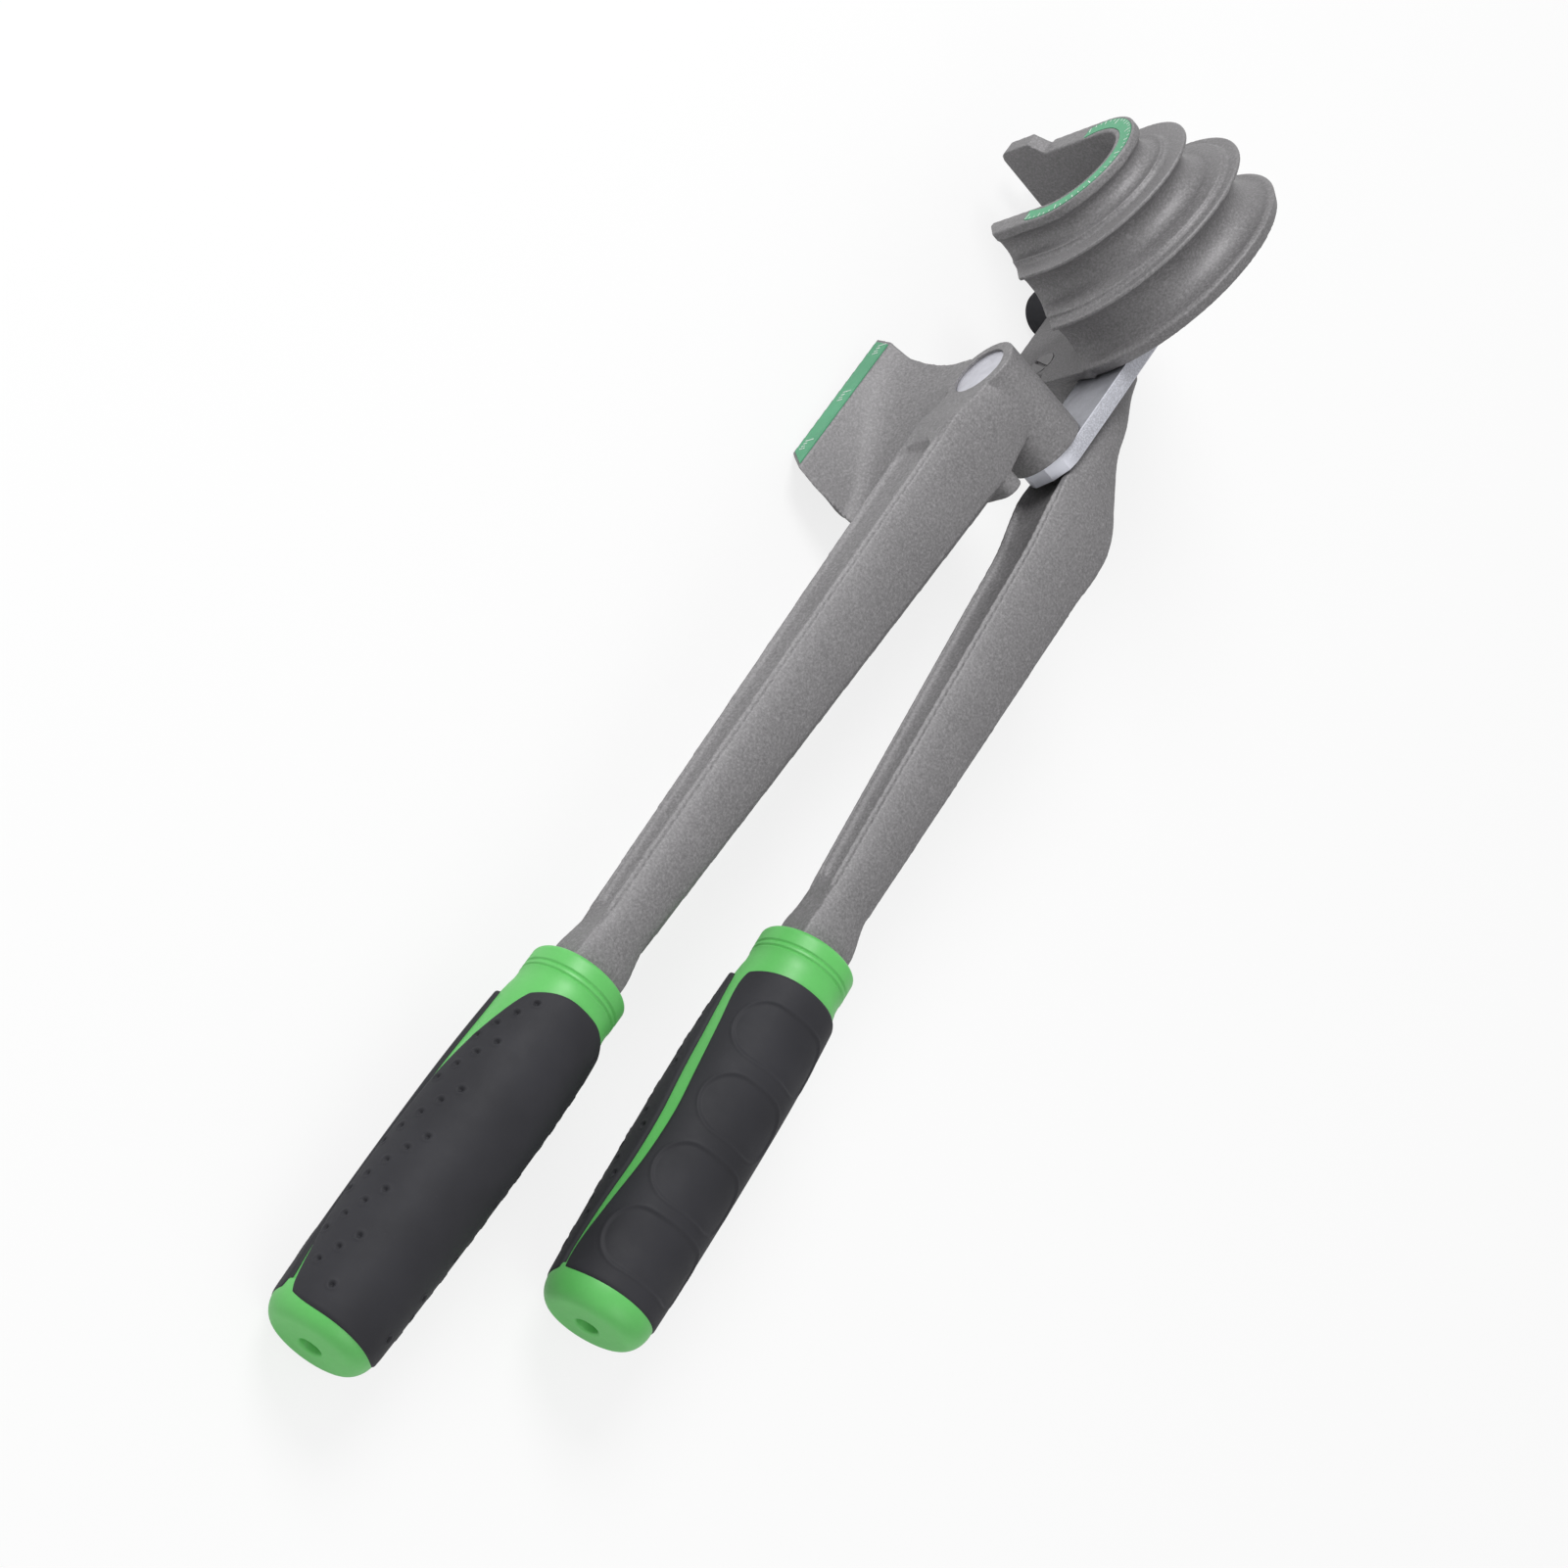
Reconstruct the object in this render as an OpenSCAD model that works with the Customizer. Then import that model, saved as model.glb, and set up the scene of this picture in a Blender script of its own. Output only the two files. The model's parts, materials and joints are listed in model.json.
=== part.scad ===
// Lever bender for soft tube in three sizes, drawn in millimetres.
// The die stack is drawn standing up: its hinge axis is Z, the handles run
// along X and the half circle of the die faces +Y. lay() puts the finished
// tool on its side, the way it lies on a bench.

/* [Tube and bend] */
// Outside diameter of the large tube
tube_large_d = 12.7; // [12:0.1:13.2]
// Outside diameter of the middle tube
tube_mid_d = 9.5; // [9:0.1:10]
// Outside diameter of the small tube
tube_small_d = 6.35; // [6:0.05:6.8]
// Bend radius of the large tube, to its centre line
bend_large_r = 38.1; // [37:0.1:39]
// Bend radius of the middle tube
bend_mid_r = 30; // [29.4:0.1:30.6]
// Bend radius of the small tube
bend_small_r = 22.2; // [21.6:0.1:22.6]
// Radial play of a tube in its groove
tube_play = 0.1; // [0.05:0.05:0.2]

/* [Bending die] */
// Thickness of the foot flange under the large groove
foot_t = 3.3; // [2.8:0.1:3.8]
// Reach of the foot flange past the large tube's centre line
foot_rim = 1.4; // [1:0.1:1.8]
// Lip of metal that closes a groove at its outer edge
lip = 0.85; // [0.6:0.05:1]
// Thickness of the rim over the large and the middle groove
rim_t = 1.15; // [0.9:0.05:1.4]
// Thickness of the graduated top rim
top_rim_t = 2.5; // [2.2:0.1:3]
// Radius of the top rim
top_rim_r = 20.9; // [20.2:0.1:21.2]
// Height of the step between a rim and the groove over it
step_h = 1.4; // [1.2:0.1:2]
// Radius of the hollow in the stack
hollow_r = 14.6; // [13.6:0.1:15]
// Height of the hollow's floor
floor_h = 8; // [7:0.5:10]
// Length of the straight leg that leads the tube in
leg_len = 22.5; // [21.5:0.1:23.5]
// Slope of the cut across the near leg, from the X axis
leg_cut_deg = 42; // [38:1:46]
// Reach of the near leg's inner corner
near_leg_y = 19.8; // [19:0.1:21]
// Reach of the tail plate behind the hinge axis
tail_y = 43; // [42:0.2:45]

/* [Tube latch] */
// Reach of the guard post behind the hinge axis
bar_y = 38; // [37:0.1:39]
// Thickness of the guard post
bar_t = 4.9; // [4:0.1:5.2]
// Height by which the post rises over the top rim
bar_rise = 4.3; // [3.5:0.1:5]
// Distance of the latch pin behind the hinge axis
latch_y = 31; // [30.5:0.1:31.5]
// Distance of the latch pin from the hinge axis, along the handles
latch_off = 25; // [24.8:0.1:25.2]
// Diameter of the latch pin
latch_pin_d = 4; // [3.6:0.1:4.4]
// Thickness of the latch plate between the two upper tubes
latch_t = 3.1; // [2.8:0.1:3.2]
// Width of the jaws along the tube
jaw_w = 5; // [4:0.5:6]
// Reach of the thumb lever past the latch pin
lever_run = 17; // [14:0.5:18]

/* [Rubber foot] */
// Diameter of the foot under the tail
rubber_d = 16; // [15:0.5:17]
// Height of the foot
rubber_h = 9.87; // [9:0.01:10.5]
// Offset of the foot's axis from the hinge axis
rubber_off = 2; // [1:0.5:3]

/* [Link] */
// Distance between the link's two pins
link_len = 67.3; // [67:0.1:68]
// Width of the link
link_w = 18.6; // [17.5:0.1:19.4]
// Thickness of the link
link_t = 5; // [4.5:0.1:5.4]
// Gap between the link and what lies over and under it
link_gap = 0.5; // [0.4:0.05:0.6]
// Diameter of the pivot bolt
pivot_d = 10; // [9:0.5:11]
// Diameter of the shoe pin
pin_d = 10; // [9:0.5:11]
// Running clearance round a pin
run_fit = 0.05; // [0.02:0.01:0.09]

/* [Forming shoe] */
// Outside diameter of the barrel round the shoe pin
barrel_d = 22; // [21:0.5:23]
// Height of the barrel
barrel_h = 29.3; // [28:0.1:30]
// Length of the shoe along the tube
shoe_len = 51; // [48:0.5:54]
// Slant of the shoe's far end, from back to front
shoe_slant = 11; // [9:0.5:13]
// Reach of the shoe past the pin towards the die end
shoe_lead = 7.3; // [6.5:0.1:8]
// Height of the shoe's top face
shoe_top = 40.3; // [39.6:0.1:41]
// Clearance between the shoe's lips and the rims of the die
shoe_gap = 1.3; // [1.2:0.05:1.6]
// Distance from the pin to the back of the shoe's wall
wall_y = 30; // [29:0.5:31]
// Height of the web between the arm and the wall
web_top = 22; // [20.5:0.5:24]
// Radius of the hollow corner between the wall and the barrel
corner_r = 22; // [20:0.5:24]

/* [Handles] */
// Distance from the hinge axis to the collar of the shoe grip
shoe_grip_x = 273.9; // [260:0.1:290]
// Distance from the hinge axis to the collar of the die grip
die_grip_x = 224.5; // [210:0.1:235]
// Depth of an arm at its grip, across the hinge pins
arm_end_h = 13.8; // [12:0.1:14.2]
// Width of an arm at its grip, along the bending plane
arm_end_w = 14; // [12.5:0.1:14.4]
// Growth of the arm's depth for each unit of length
arm_taper = 0.053; // [0.05:0.001:0.06]
// Growth of the arm's width for each unit of length
arm_spread = 0.0364; // [0.03:0.0002:0.045]
// Rounding of the arm's edges
arm_round = 4.2; // [3:0.1:5]
// Width of the channel along the arm's faces
channel_w = 5.6; // [4.5:0.1:6.5]
// Depth of the channel
channel_d = 1.6; // [1:0.1:2.2]
// Depth of the pad under the tail plate, past the link
lug_t = 6; // [5:0.1:7]
// Height of the shoe arm's axis over the foot, at the hinge
shoe_axis_z = 19.2; // [18.6:0.1:20]
// Rise of the shoe arm, in degrees
shoe_rise_deg = 0.27; // [0:0.01:0.5]
// Rise of the shoe grip, in degrees
shoe_grip_deg = 0.85; // [0.4:0.01:1]
// Depth of the die grip's axis under the foot, at the hinge
die_axis_z = 13.5; // [13:0.1:14.2]
// Drop of the die grip, in degrees
die_drop_deg = 3.3; // [3:0.02:3.6]

/* [Grips] */
// Length of a grip with its end cap
grip_len = 112; // [104:0.1:120]
// Diameter of the collar
collar_d = 26.2; // [25.4:0.1:27]
// Diameter of the grip at its swell
swell_d = 30.2; // [29.6:0.1:31.4]
// Diameter of the grip before the end cap
waist_d = 28; // [27.6:0.1:29]
// Diameter of the end cap
cap_d = 28.2; // [27:0.1:29.5]
// Length of the end cap
cap_len = 9; // [8:0.5:10]
// Thickness of the black pads
pad_t = 2; // [1.6:0.1:2.6]
// Angle of the green split between two pads
split_deg = 11; // [8:1:20]
// Diameter of the hole for hanging the tool up
hang_d = 6; // [5:0.1:7]
// Depth of that hole
hang_l = 8; // [6:0.5:8.5]
// Diameter of the tang inside the grip
tang_d = 11; // [10:0.5:11.5]

/* [Hidden] */
$fn = 64;

over = 1;
seat = 0.05;
cast = [0.50, 0.50, 0.52];
steel = [0.66, 0.68, 0.72];
green = [0.40, 0.82, 0.40];
black = [0.16, 0.16, 0.18];
mint = [0.42, 0.70, 0.55];

// Radii of the grooves and heights of their centres
groove_large = tube_large_d / 2 + tube_play;
groove_mid = tube_mid_d / 2 + tube_play;
groove_small = tube_small_d / 2 + tube_play;
large_z = foot_t + lip + groove_large;
large_rim_z = large_z + groove_large + rim_t;
mid_z = large_rim_z + step_h + lip + groove_mid;
mid_rim_z = mid_z + groove_mid + rim_t;
small_z = mid_rim_z + step_h + groove_small;
stack_h = small_z + groove_small + top_rim_t;
foot_r = bend_large_r + foot_rim;
mid_lip_r = bend_mid_r + 0.85 * groove_mid;
small_lip_r = bend_small_r + 0.42 * groove_small;
bolt_r = pivot_d / 2;
pin_r = pin_d / 2;
label_t = 0.6;
label_in = hollow_r + 0.25 * (top_rim_r - hollow_r);
label_out = top_rim_r - 0.16 * (top_rim_r - hollow_r);

// Levels of the link and of the lug under it
link_top = -link_gap;
link_low = link_top - link_t;
lug_top = link_low - link_gap;
lug_low = lug_top - lug_t;

// The bar and the latch that swings in it
bar_in = -hollow_r;
bar_out = bar_in - bar_t;
bar_top = stack_h + bar_rise;
latch_x = -latch_off;
latch_r = latch_pin_d / 2;
latch_top = mid_z - groove_mid;
latch_low = latch_top - latch_t;
boss_wall = 2.4;
boss_r = latch_r + boss_wall;
jaw_y = latch_y + 5 * latch_r;
jaw_back = 2.8;
jaw_grip_share = 0.35;
lever_x = latch_x + 0.17 * lever_run;
lever_y = latch_y + lever_run;
lever_w = 7;

// The shoe, measured from its pin
shoe_low = foot_t + 0.5 * lip;
reach_large = link_len - foot_r + seat;
reach_mid = link_len - bend_mid_r - shoe_gap - 0.2 * lip;
reach_small = link_len - top_rim_r - 2.5 * shoe_gap;
step_mid_z = mid_z - groove_mid + 0.5 * lip;
step_small_z = mid_rim_z + step_h + 0.4 * lip;
pin_head_r = 8;
pin_head_t = 3;
bolt_head_t = 3;
barrel_gap = 0.3;
pin_recess = 0.7;
bush_t = 1.5;
dip_r = 17;
strip_w = 7.6;
strip_edge = 1.2;
ear_t = 5.2;
ear_w = 9;
ear_x = 21;
ear_y = 10;

// Sections of the arms
tang_gap = 13;
tang_l = grip_len - cap_len - tang_gap;
shoe_root_run = 15;
flare_l = 16;
shoe_root_x = link_len + shoe_root_run;
die_root_x = 77;
shoe_arm_l = shoe_grip_x - flare_l - shoe_root_x;
die_arm_l = die_grip_x - flare_l - die_root_x;
shoe_root_h = arm_end_h + arm_taper * shoe_arm_l;
shoe_root_w = arm_end_w + arm_spread * shoe_arm_l;
root_growth = 1.5;
root_drop = 0.45;
die_root_h = arm_end_h + arm_taper * die_arm_l + root_growth;
die_root_w = arm_end_w + arm_spread * die_arm_l;
die_offset = 0.5;
slice = 0.2;
grip_body = grip_len - cap_len;
screw_r = 3;
screw_head_r = 4.4;
screw_places = [[0.74 * foot_r, -0.64 * tail_y], [-0.1 * foot_r, -0.72 * tail_y]];
screw_turn = 61;

// The tool rests on the rubber foot, the shoe's far corner and an end cap
rubber_edge_share = 0.8;
rest_run = shoe_grip_x + grip_len + rubber_off - rubber_edge_share * rubber_d / 2;
lean = atan((tail_y + rubber_h - cap_d / 2) / rest_run);

// Lays the standing drawing on its side
module lay() {
    rotate([0, lean, 0])
        rotate([90, 0, 0])
            children();
}

// Outline of the stack in radius and height, with its three grooves
module stack_profile(inner) {
    difference() {
        polygon([
            [inner, 0], [foot_r - foot_rim, 0], [foot_r, foot_t],
            [bend_large_r, foot_t + lip], [bend_large_r, large_rim_z],
            [mid_lip_r + lip, large_rim_z],
            [mid_lip_r, large_rim_z + step_h / 2],
            [mid_lip_r, large_rim_z + step_h],
            [bend_mid_r, large_rim_z + step_h + lip],
            [bend_mid_r, mid_rim_z], [small_lip_r + lip, mid_rim_z],
            [small_lip_r, mid_rim_z + step_h / 2],
            [small_lip_r, mid_rim_z + step_h],
            [top_rim_r, mid_rim_z + step_h + lip],
            [top_rim_r, stack_h], [inner, stack_h]]);
        translate([bend_large_r, large_z])
            circle(r = groove_large);
        translate([bend_mid_r, mid_z])
            circle(r = groove_mid);
        translate([bend_small_r, small_z])
            circle(r = groove_small);
    }
}

module leg(inner) {
    rotate([90, 0, 0])
        linear_extrude(leg_len)
            stack_profile(inner);
}

module tail_outline() {
    polygon([
        [foot_r, 0], [foot_r * 0.95, -tail_y * 0.2],
        [foot_r * 0.88, -tail_y * 0.53], [foot_r * 0.78, -tail_y * 0.9],
        [foot_r * 0.7, -tail_y], [-foot_r * 0.66, -tail_y],
        [-foot_r * 0.74, -tail_y * 0.92], [-foot_r * 0.76, -leg_len],
        [-foot_r, -leg_len], [-foot_r, 0]]);
}

// Casting with the half circle, both legs, the tail plate and the bar
module bending_die() {
    color(cast)
        lay()
            difference() {
                union() {
                    rotate_extrude(angle = 180)
                        stack_profile(hollow_r);
                    leg(hollow_r);
                    mirror([1, 0, 0])
                        leg(hollow_r);
                    cylinder(r = hollow_r + seat, h = floor_h);
                    linear_extrude(foot_t)
                        tail_outline();
                    latch_bar();
                    translate([latch_x, -latch_y, 0])
                        cylinder(r = boss_r, h = latch_low - seat);
                }
                near_leg_cut();
                translate([0, 0, -over])
                    cylinder(r = bolt_r + run_fit, h = floor_h + 2 * over);
                label_bed(seat);
                translate([latch_x, -latch_y, -over])
                    cylinder(r = latch_r + run_fit, h = bar_top);
                for (p = screw_places)
                    translate([p[0], p[1], -over])
                        union() {
                            cylinder(r = screw_r + seat, h = foot_t + 2 * over);
                            translate([0, 0, foot_t + over - 0.6 * screw_r])
                                cylinder(r = screw_head_r + seat, h = screw_r);
                        }
            }
}

// Post that guards the latch, with a slanted top
module latch_bar() {
    translate([bar_out, 0, 0])
        rotate([90, 0, 90])
            linear_extrude(bar_in - bar_out)
                polygon([
                    [-leg_len + over, 0], [-leg_len + over, stack_h],
                    [-leg_len, stack_h],
                    [-leg_len - 0.8 * bar_rise, bar_top],
                    [-bar_y + 0.5 * bar_rise, bar_top],
                    [-bar_y + 0.15 * bar_rise, bar_top - 0.15 * bar_rise],
                    [-bar_y, bar_top - 0.5 * bar_rise],
                    [-bar_y, 0]]);
}

module near_leg_cut() {
    translate([hollow_r + 0.7 * (top_rim_r - hollow_r), -near_leg_y, foot_t])
        rotate([0, 0, leg_cut_deg])
            translate([-leg_len, -2 * leg_len, 0])
                cube([4 * leg_len, 2 * leg_len, bar_top]);
}

// Flat ring with the angle scale, and the bed that it lies in
module label_bed(play) {
    translate([0, 0, stack_h - label_t])
        linear_extrude(label_t + over)
            label_outline(play);
}

module label_outline(play) {
    difference() {
        circle(r = label_out + play);
        circle(r = label_in - play);
        translate([-2 * label_out, -4 * label_out - 0.3 * near_leg_y])
            square([4 * label_out, 4 * label_out]);
    }
}

module angle_label() {
    color(mint)
        lay()
            translate([0, 0, stack_h - label_t])
                linear_extrude(label_t)
                    label_outline(0);
}

// Shoulder bolt with a low head under the link and a nut in the hollow
module pivot_bolt() {
    color(steel)
        lay()
            union() {
                translate([0, 0, link_low - seat - bolt_head_t])
                    cylinder(r = 1.6 * bolt_r, h = bolt_head_t);
                translate([0, 0, link_low - seat - bolt_head_t])
                    cylinder(r = bolt_r, h = floor_h + 2.3 * bolt_r + bolt_head_t - link_low);
            }
}

module pivot_washer() {
    color(steel)
        lay()
            translate([0, 0, floor_h])
                difference() {
                    cylinder(r = 2 * bolt_r, h = bush_t);
                    translate([0, 0, -over])
                        cylinder(r = bolt_r + run_fit, h = bush_t + 2 * over);
                }
}

module pivot_nut() {
    color(steel)
        lay()
            translate([0, 0, floor_h + bush_t])
                difference() {
                    cylinder(r = 1.7 * bolt_r, h = 1.6 * bolt_r, $fn = 6);
                    translate([0, 0, -over])
                        cylinder(r = bolt_r + run_fit, h = 2 * bolt_r + 2 * over);
                }
}

// Corners of a slice of an arm: centre height z, depth h and width w
module arm_slice(x, z, h, w, y = 0) {
    r = min(arm_round, 0.45 * h);
    translate([x, y, z])
        rotate([90, 0, 90])
            linear_extrude(slice)
                for (sy = [-1, 1], sz = [-1, 1])
                    translate([sy * (w / 2 - r), sz * (h / 2 - r)])
                        circle(r = r, $fn = 32);
}

// Channel with round ends, sunk into the face of an arm
module channel(x, z, run, deg, side) {
    translate([x, 0, z])
        rotate([0, deg, 0])
            translate([0, 0, side > 0 ? -channel_d : channel_d - 4 * over])
                union() {
                    translate([0, -channel_w / 2, 0])
                        cube([run, channel_w, 4 * over]);
                    for (e = [0, run])
                        translate([e, 0, 0])
                            cylinder(r = channel_w / 2, h = 4 * over, $fn = 32);
                }
}

// Centre heights of the die arm at its root and at its collar
function die_line(x) = -die_axis_z - tan(die_drop_deg) * x;
die_root_z = die_line(die_root_x) - root_drop;
die_end_z = die_line(die_grip_x - flare_l) + die_offset;
die_slope = atan((die_root_h - arm_end_h) / 2 / die_arm_l);
shoe_slope = atan((shoe_root_h - arm_end_h) / 2 / shoe_arm_l);
die_run_deg = atan((die_root_z - die_end_z) / die_arm_l);
bend_shift = 0.24 * die_root_x;
channel_top = die_root_z + die_root_h / 2 - bend_shift * tan(die_run_deg + die_slope);
channel_low = die_root_z - die_root_h / 2 - bend_shift * tan(die_run_deg - die_slope);
die_channel_l = die_arm_l - bend_shift - 1.2 * channel_w;

// Rows of the neck as shares of the root's distance, depth and width:
// distance, lower level, width, place across
neck_shares = [
    [0.39, 0.38, 1.3, -0.83], [0.545, 0.45, 0.96, -0.39],
    [0.7, 0.475, 0.85, -0.13], [0.857, 0.735, 0.88, -0.02]];
bend_x = 1.24 * die_root_x;

module neck_slice(i) {
    n = neck_shares[i];
    top = lug_top - seat;
    low = lug_top - n[1] * (lug_top - die_root_z + die_root_h / 2);
    arm_slice(n[0] * die_root_x, (top + low) / 2, top - low,
        n[2] * die_root_w, n[3] * die_root_w);
}

// Root of the arm, widened under the link, and the end of that widening
module root_slice() {
    top = lug_top - 2 * seat;
    low = die_root_z - 0.475 * die_root_h;
    arm_slice(die_root_x, (top + low) / 2, top - low, 1.17 * die_root_w, -0.08 * die_root_w);
}

module bend_slice() {
    t = (bend_x - die_root_x) / die_arm_l;
    arm_slice(bend_x, die_root_z + t * (die_end_z - die_root_z),
        die_root_h + t * (arm_end_h - die_root_h), die_root_w + t * (arm_end_w - die_root_w));
}

module die_arm() {
    color(cast)
        lay()
            difference() {
                union() {
                    for (i = [0:2])
                        hull() {
                            neck_slice(i);
                            neck_slice(i + 1);
                        }
                    hull() {
                        neck_slice(3);
                        root_slice();
                    }
                    hull() {
                        root_slice();
                        bend_slice();
                    }
                    hull() {
                        bend_slice();
                        arm_slice(die_grip_x - flare_l, die_end_z, arm_end_h, arm_end_w);
                    }
                    hull() {
                        arm_slice(die_grip_x - flare_l, die_end_z, arm_end_h, arm_end_w);
                        die_grip_place()
                            translate([-slice, 0, 0])
                                rotate([0, 90, 0])
                                    cylinder(r = 0.3 * collar_d, h = slice, $fn = 32);
                    }
                    die_grip_place()
                        translate([-slice, 0, 0])
                            rotate([0, 90, 0])
                                cylinder(r = tang_d / 2, h = tang_l);
                    lug();
                }
                translate([latch_x, -latch_y, lug_low - over])
                    cylinder(r = latch_r + run_fit, h = -lug_low + 2 * over);
                for (p = screw_places)
                    translate([p[0], p[1], lug_low - over])
                        cylinder(r = screw_r + seat, h = -lug_low + 2 * over);
                channel(bend_x, channel_top,
                    die_channel_l, die_run_deg + die_slope, 1);
                channel(bend_x, channel_low,
                    die_channel_l, die_run_deg - die_slope, -1);
            }
}

// Pad that carries the tail plate
module lug() {
    translate([0, 0, lug_low])
        linear_extrude(-lug_low)
            lug_outline();
}

module lug_outline() {
    polygon([
        [-foot_r * 0.74, -0.62 * link_w], [-foot_r * 0.74, -tail_y * 0.88],
        [-foot_r * 0.66, -tail_y], [foot_r * 0.68, -tail_y],
        [foot_r * 0.76, -tail_y * 0.9], [foot_r * 0.86, -0.53 * tail_y],
        [foot_r * 0.9, -0.62 * link_w]]);
}

// Flush screws with a slot
module tail_screws() {
    color(steel)
        lay()
            for (p = screw_places)
                translate([p[0], p[1], 0])
                    rotate([0, 0, screw_turn])
                        difference() {
                            union() {
                                translate([0, 0, lug_low])
                                    cylinder(r = screw_r, h = foot_t - lug_low);
                                translate([0, 0, foot_t - 0.6 * screw_r])
                                    cylinder(r = screw_head_r, h = 0.6 * screw_r);
                            }
                            translate([-screw_head_r - over, -0.17 * screw_r, foot_t - 0.3 * screw_r])
                                cube([2 * screw_head_r + 2 * over, 0.34 * screw_r, screw_r]);
                        }
}

// Rubber foot on the end of the tail and the pad
module tail_foot() {
    color(black)
        lay()
            translate([-rubber_off, -tail_y, 0])
                rotate([90, 0, 0])
                    rotate_extrude()
                        polygon([
                            [0, 0], [rubber_d / 2, 0], [rubber_d / 2, 0.55 * rubber_h],
                            [0.47 * rubber_d, 0.8 * rubber_h],
                            [0.44 * rubber_d, 0.93 * rubber_h],
                            [rubber_edge_share * rubber_d / 2, rubber_h], [0, rubber_h]]);
}

module latch_pin() {
    color(steel)
        lay()
            translate([latch_x, -latch_y, lug_low])
                cylinder(r = latch_r, h = latch_top - lug_low);
}

// Stepped latch: one jaw for each tube on a plate that turns on the boss
module tube_latch() {
    large_out = -bend_large_r - groove_large - jaw_back;
    mid_out = -bend_mid_r - groove_mid - jaw_back;
    small_out = -bend_small_r - groove_small - jaw_back;
    large_in = -bend_large_r - jaw_grip_share * groove_large;
    mid_in = -bend_mid_r - jaw_grip_share * groove_mid;
    small_in = -bend_small_r - jaw_grip_share * groove_small;
    color(steel)
        lay()
            difference() {
                union() {
                    translate([0, 0, latch_low])
                        linear_extrude(latch_t)
                            latch_outline(large_out);
                    jaw(large_out, large_in, foot_t + lip, latch_top);
                    jaw(mid_out, mid_in, latch_low, mid_rim_z);
                    jaw(mid_out, small_in, mid_z + 0.9 * groove_mid, mid_rim_z + step_h);
                    jaw(small_out, small_in, mid_z + 0.9 * groove_mid, stack_h - top_rim_t);
                }
                for (g = [[bend_large_r, large_z, groove_large],
                        [bend_mid_r, mid_z, groove_mid],
                        [bend_small_r, small_z, groove_small]])
                    translate([-g[0], -jaw_y + over, g[1]])
                        rotate([90, 0, 0])
                            cylinder(r = g[2], h = jaw_w + 2 * over);
                translate([latch_x, -latch_y, latch_low - over])
                    cylinder(r = latch_r + run_fit, h = latch_t + 2 * over);
            }
}

module jaw(x0, x1, z0, z1) {
    translate([x0, -jaw_y - jaw_w, z0])
        cube([x1 - x0, jaw_w, z1 - z0]);
}

module latch_outline(out) {
    union() {
        translate([latch_x, -latch_y])
            circle(r = 2.4 * latch_r);
        polygon([
            [latch_x + 1.8 * latch_r, -latch_y + 1.8 * latch_r],
            [latch_x - 1.8 * latch_r, -latch_y + 1.8 * latch_r],
            [out, -jaw_y], [out, -jaw_y - jaw_w],
            [-bend_small_r, -jaw_y - jaw_w],
            [latch_x, -latch_y - 2.4 * latch_r]]);
        polygon([
            [latch_x - lever_w / 2, -latch_y], [latch_x + lever_w / 2, -latch_y],
            [lever_x + lever_w / 2, -lever_y], [lever_x - lever_w / 2, -lever_y]]);
        translate([lever_x, -lever_y])
            circle(d = lever_w);
    }
}

// Flat steel link between the two hinge pins
module link_plate() {
    color(steel)
        lay()
            translate([0, 0, link_low])
                linear_extrude(link_t)
                    difference() {
                        union() {
                            circle(d = link_w);
                            translate([link_len, 0])
                                circle(d = link_w);
                            translate([0, -link_w / 2])
                                square([link_len, link_w]);
                        }
                        circle(r = bolt_r + run_fit);
                        translate([link_len, 0])
                            circle(r = pin_r + run_fit);
                    }
}

// Pin through the barrel, with its polished head let into the barrel
module shoe_pin() {
    color(steel)
        lay()
            translate([link_len, 0, 0])
                union() {
                    translate([0, 0, link_low])
                        cylinder(r = pin_r, h = barrel_top - pin_recess - link_low - over);
                    translate([0, 0, barrel_top - pin_recess - pin_head_t])
                        cylinder(r = pin_head_r, h = pin_head_t);
                }
}

barrel_low = link_top + barrel_gap;
barrel_top = barrel_low + barrel_h;

// Handle with the barrel, the stepped shoe and the arm in one forging
module shoe_arm() {
    color(cast)
        lay()
            difference() {
                union() {
                    translate([link_len, 0, barrel_low])
                        cylinder(d = barrel_d, h = barrel_h);
                    shoe_block();
                    hull() {
                        shoe_slice(shoe_root_x - 0.8 * barrel_d, 0.9);
                        shoe_slice(shoe_root_x, 1);
                    }
                    hull() {
                        shoe_slice(shoe_root_x, 1);
                        arm_slice(shoe_grip_x - flare_l, shoe_line(shoe_grip_x - flare_l), arm_end_h, arm_end_w);
                    }
                    hull() {
                        arm_slice(shoe_grip_x - flare_l, shoe_line(shoe_grip_x - flare_l), arm_end_h, arm_end_w);
                        shoe_grip_place()
                            translate([-slice, 0, 0])
                                rotate([0, 90, 0])
                                    cylinder(r = 0.3 * collar_d, h = slice, $fn = 32);
                    }
                    shoe_grip_place()
                        translate([-slice, 0, 0])
                            rotate([0, 90, 0])
                                cylinder(r = tang_d / 2, h = tang_l);
                }
                translate([link_len, 0, barrel_low - over])
                    cylinder(r = pin_r + bush_t + seat, h = barrel_h + 2 * over);
                translate([link_len, 0, barrel_top - pin_recess - pin_head_t - seat])
                    cylinder(r = pin_head_r + run_fit, h = 2 * pin_head_t);
                channel(shoe_root_x + 6 * channel_w, shoe_line(shoe_root_x) + shoe_root_h / 2 - channel_shift,
                    shoe_arm_l - 6.5 * channel_w, shoe_slope - shoe_rise_deg, 1);
                channel(shoe_root_x + 6 * channel_w, shoe_line(shoe_root_x) - shoe_root_h / 2 + channel_shift,
                    shoe_arm_l - 6.5 * channel_w, -shoe_slope - shoe_rise_deg, -1);
            }
}

function shoe_line(x) = shoe_axis_z + tan(shoe_rise_deg) * x;
channel_shift = 6 * channel_w * tan(shoe_slope);

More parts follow.
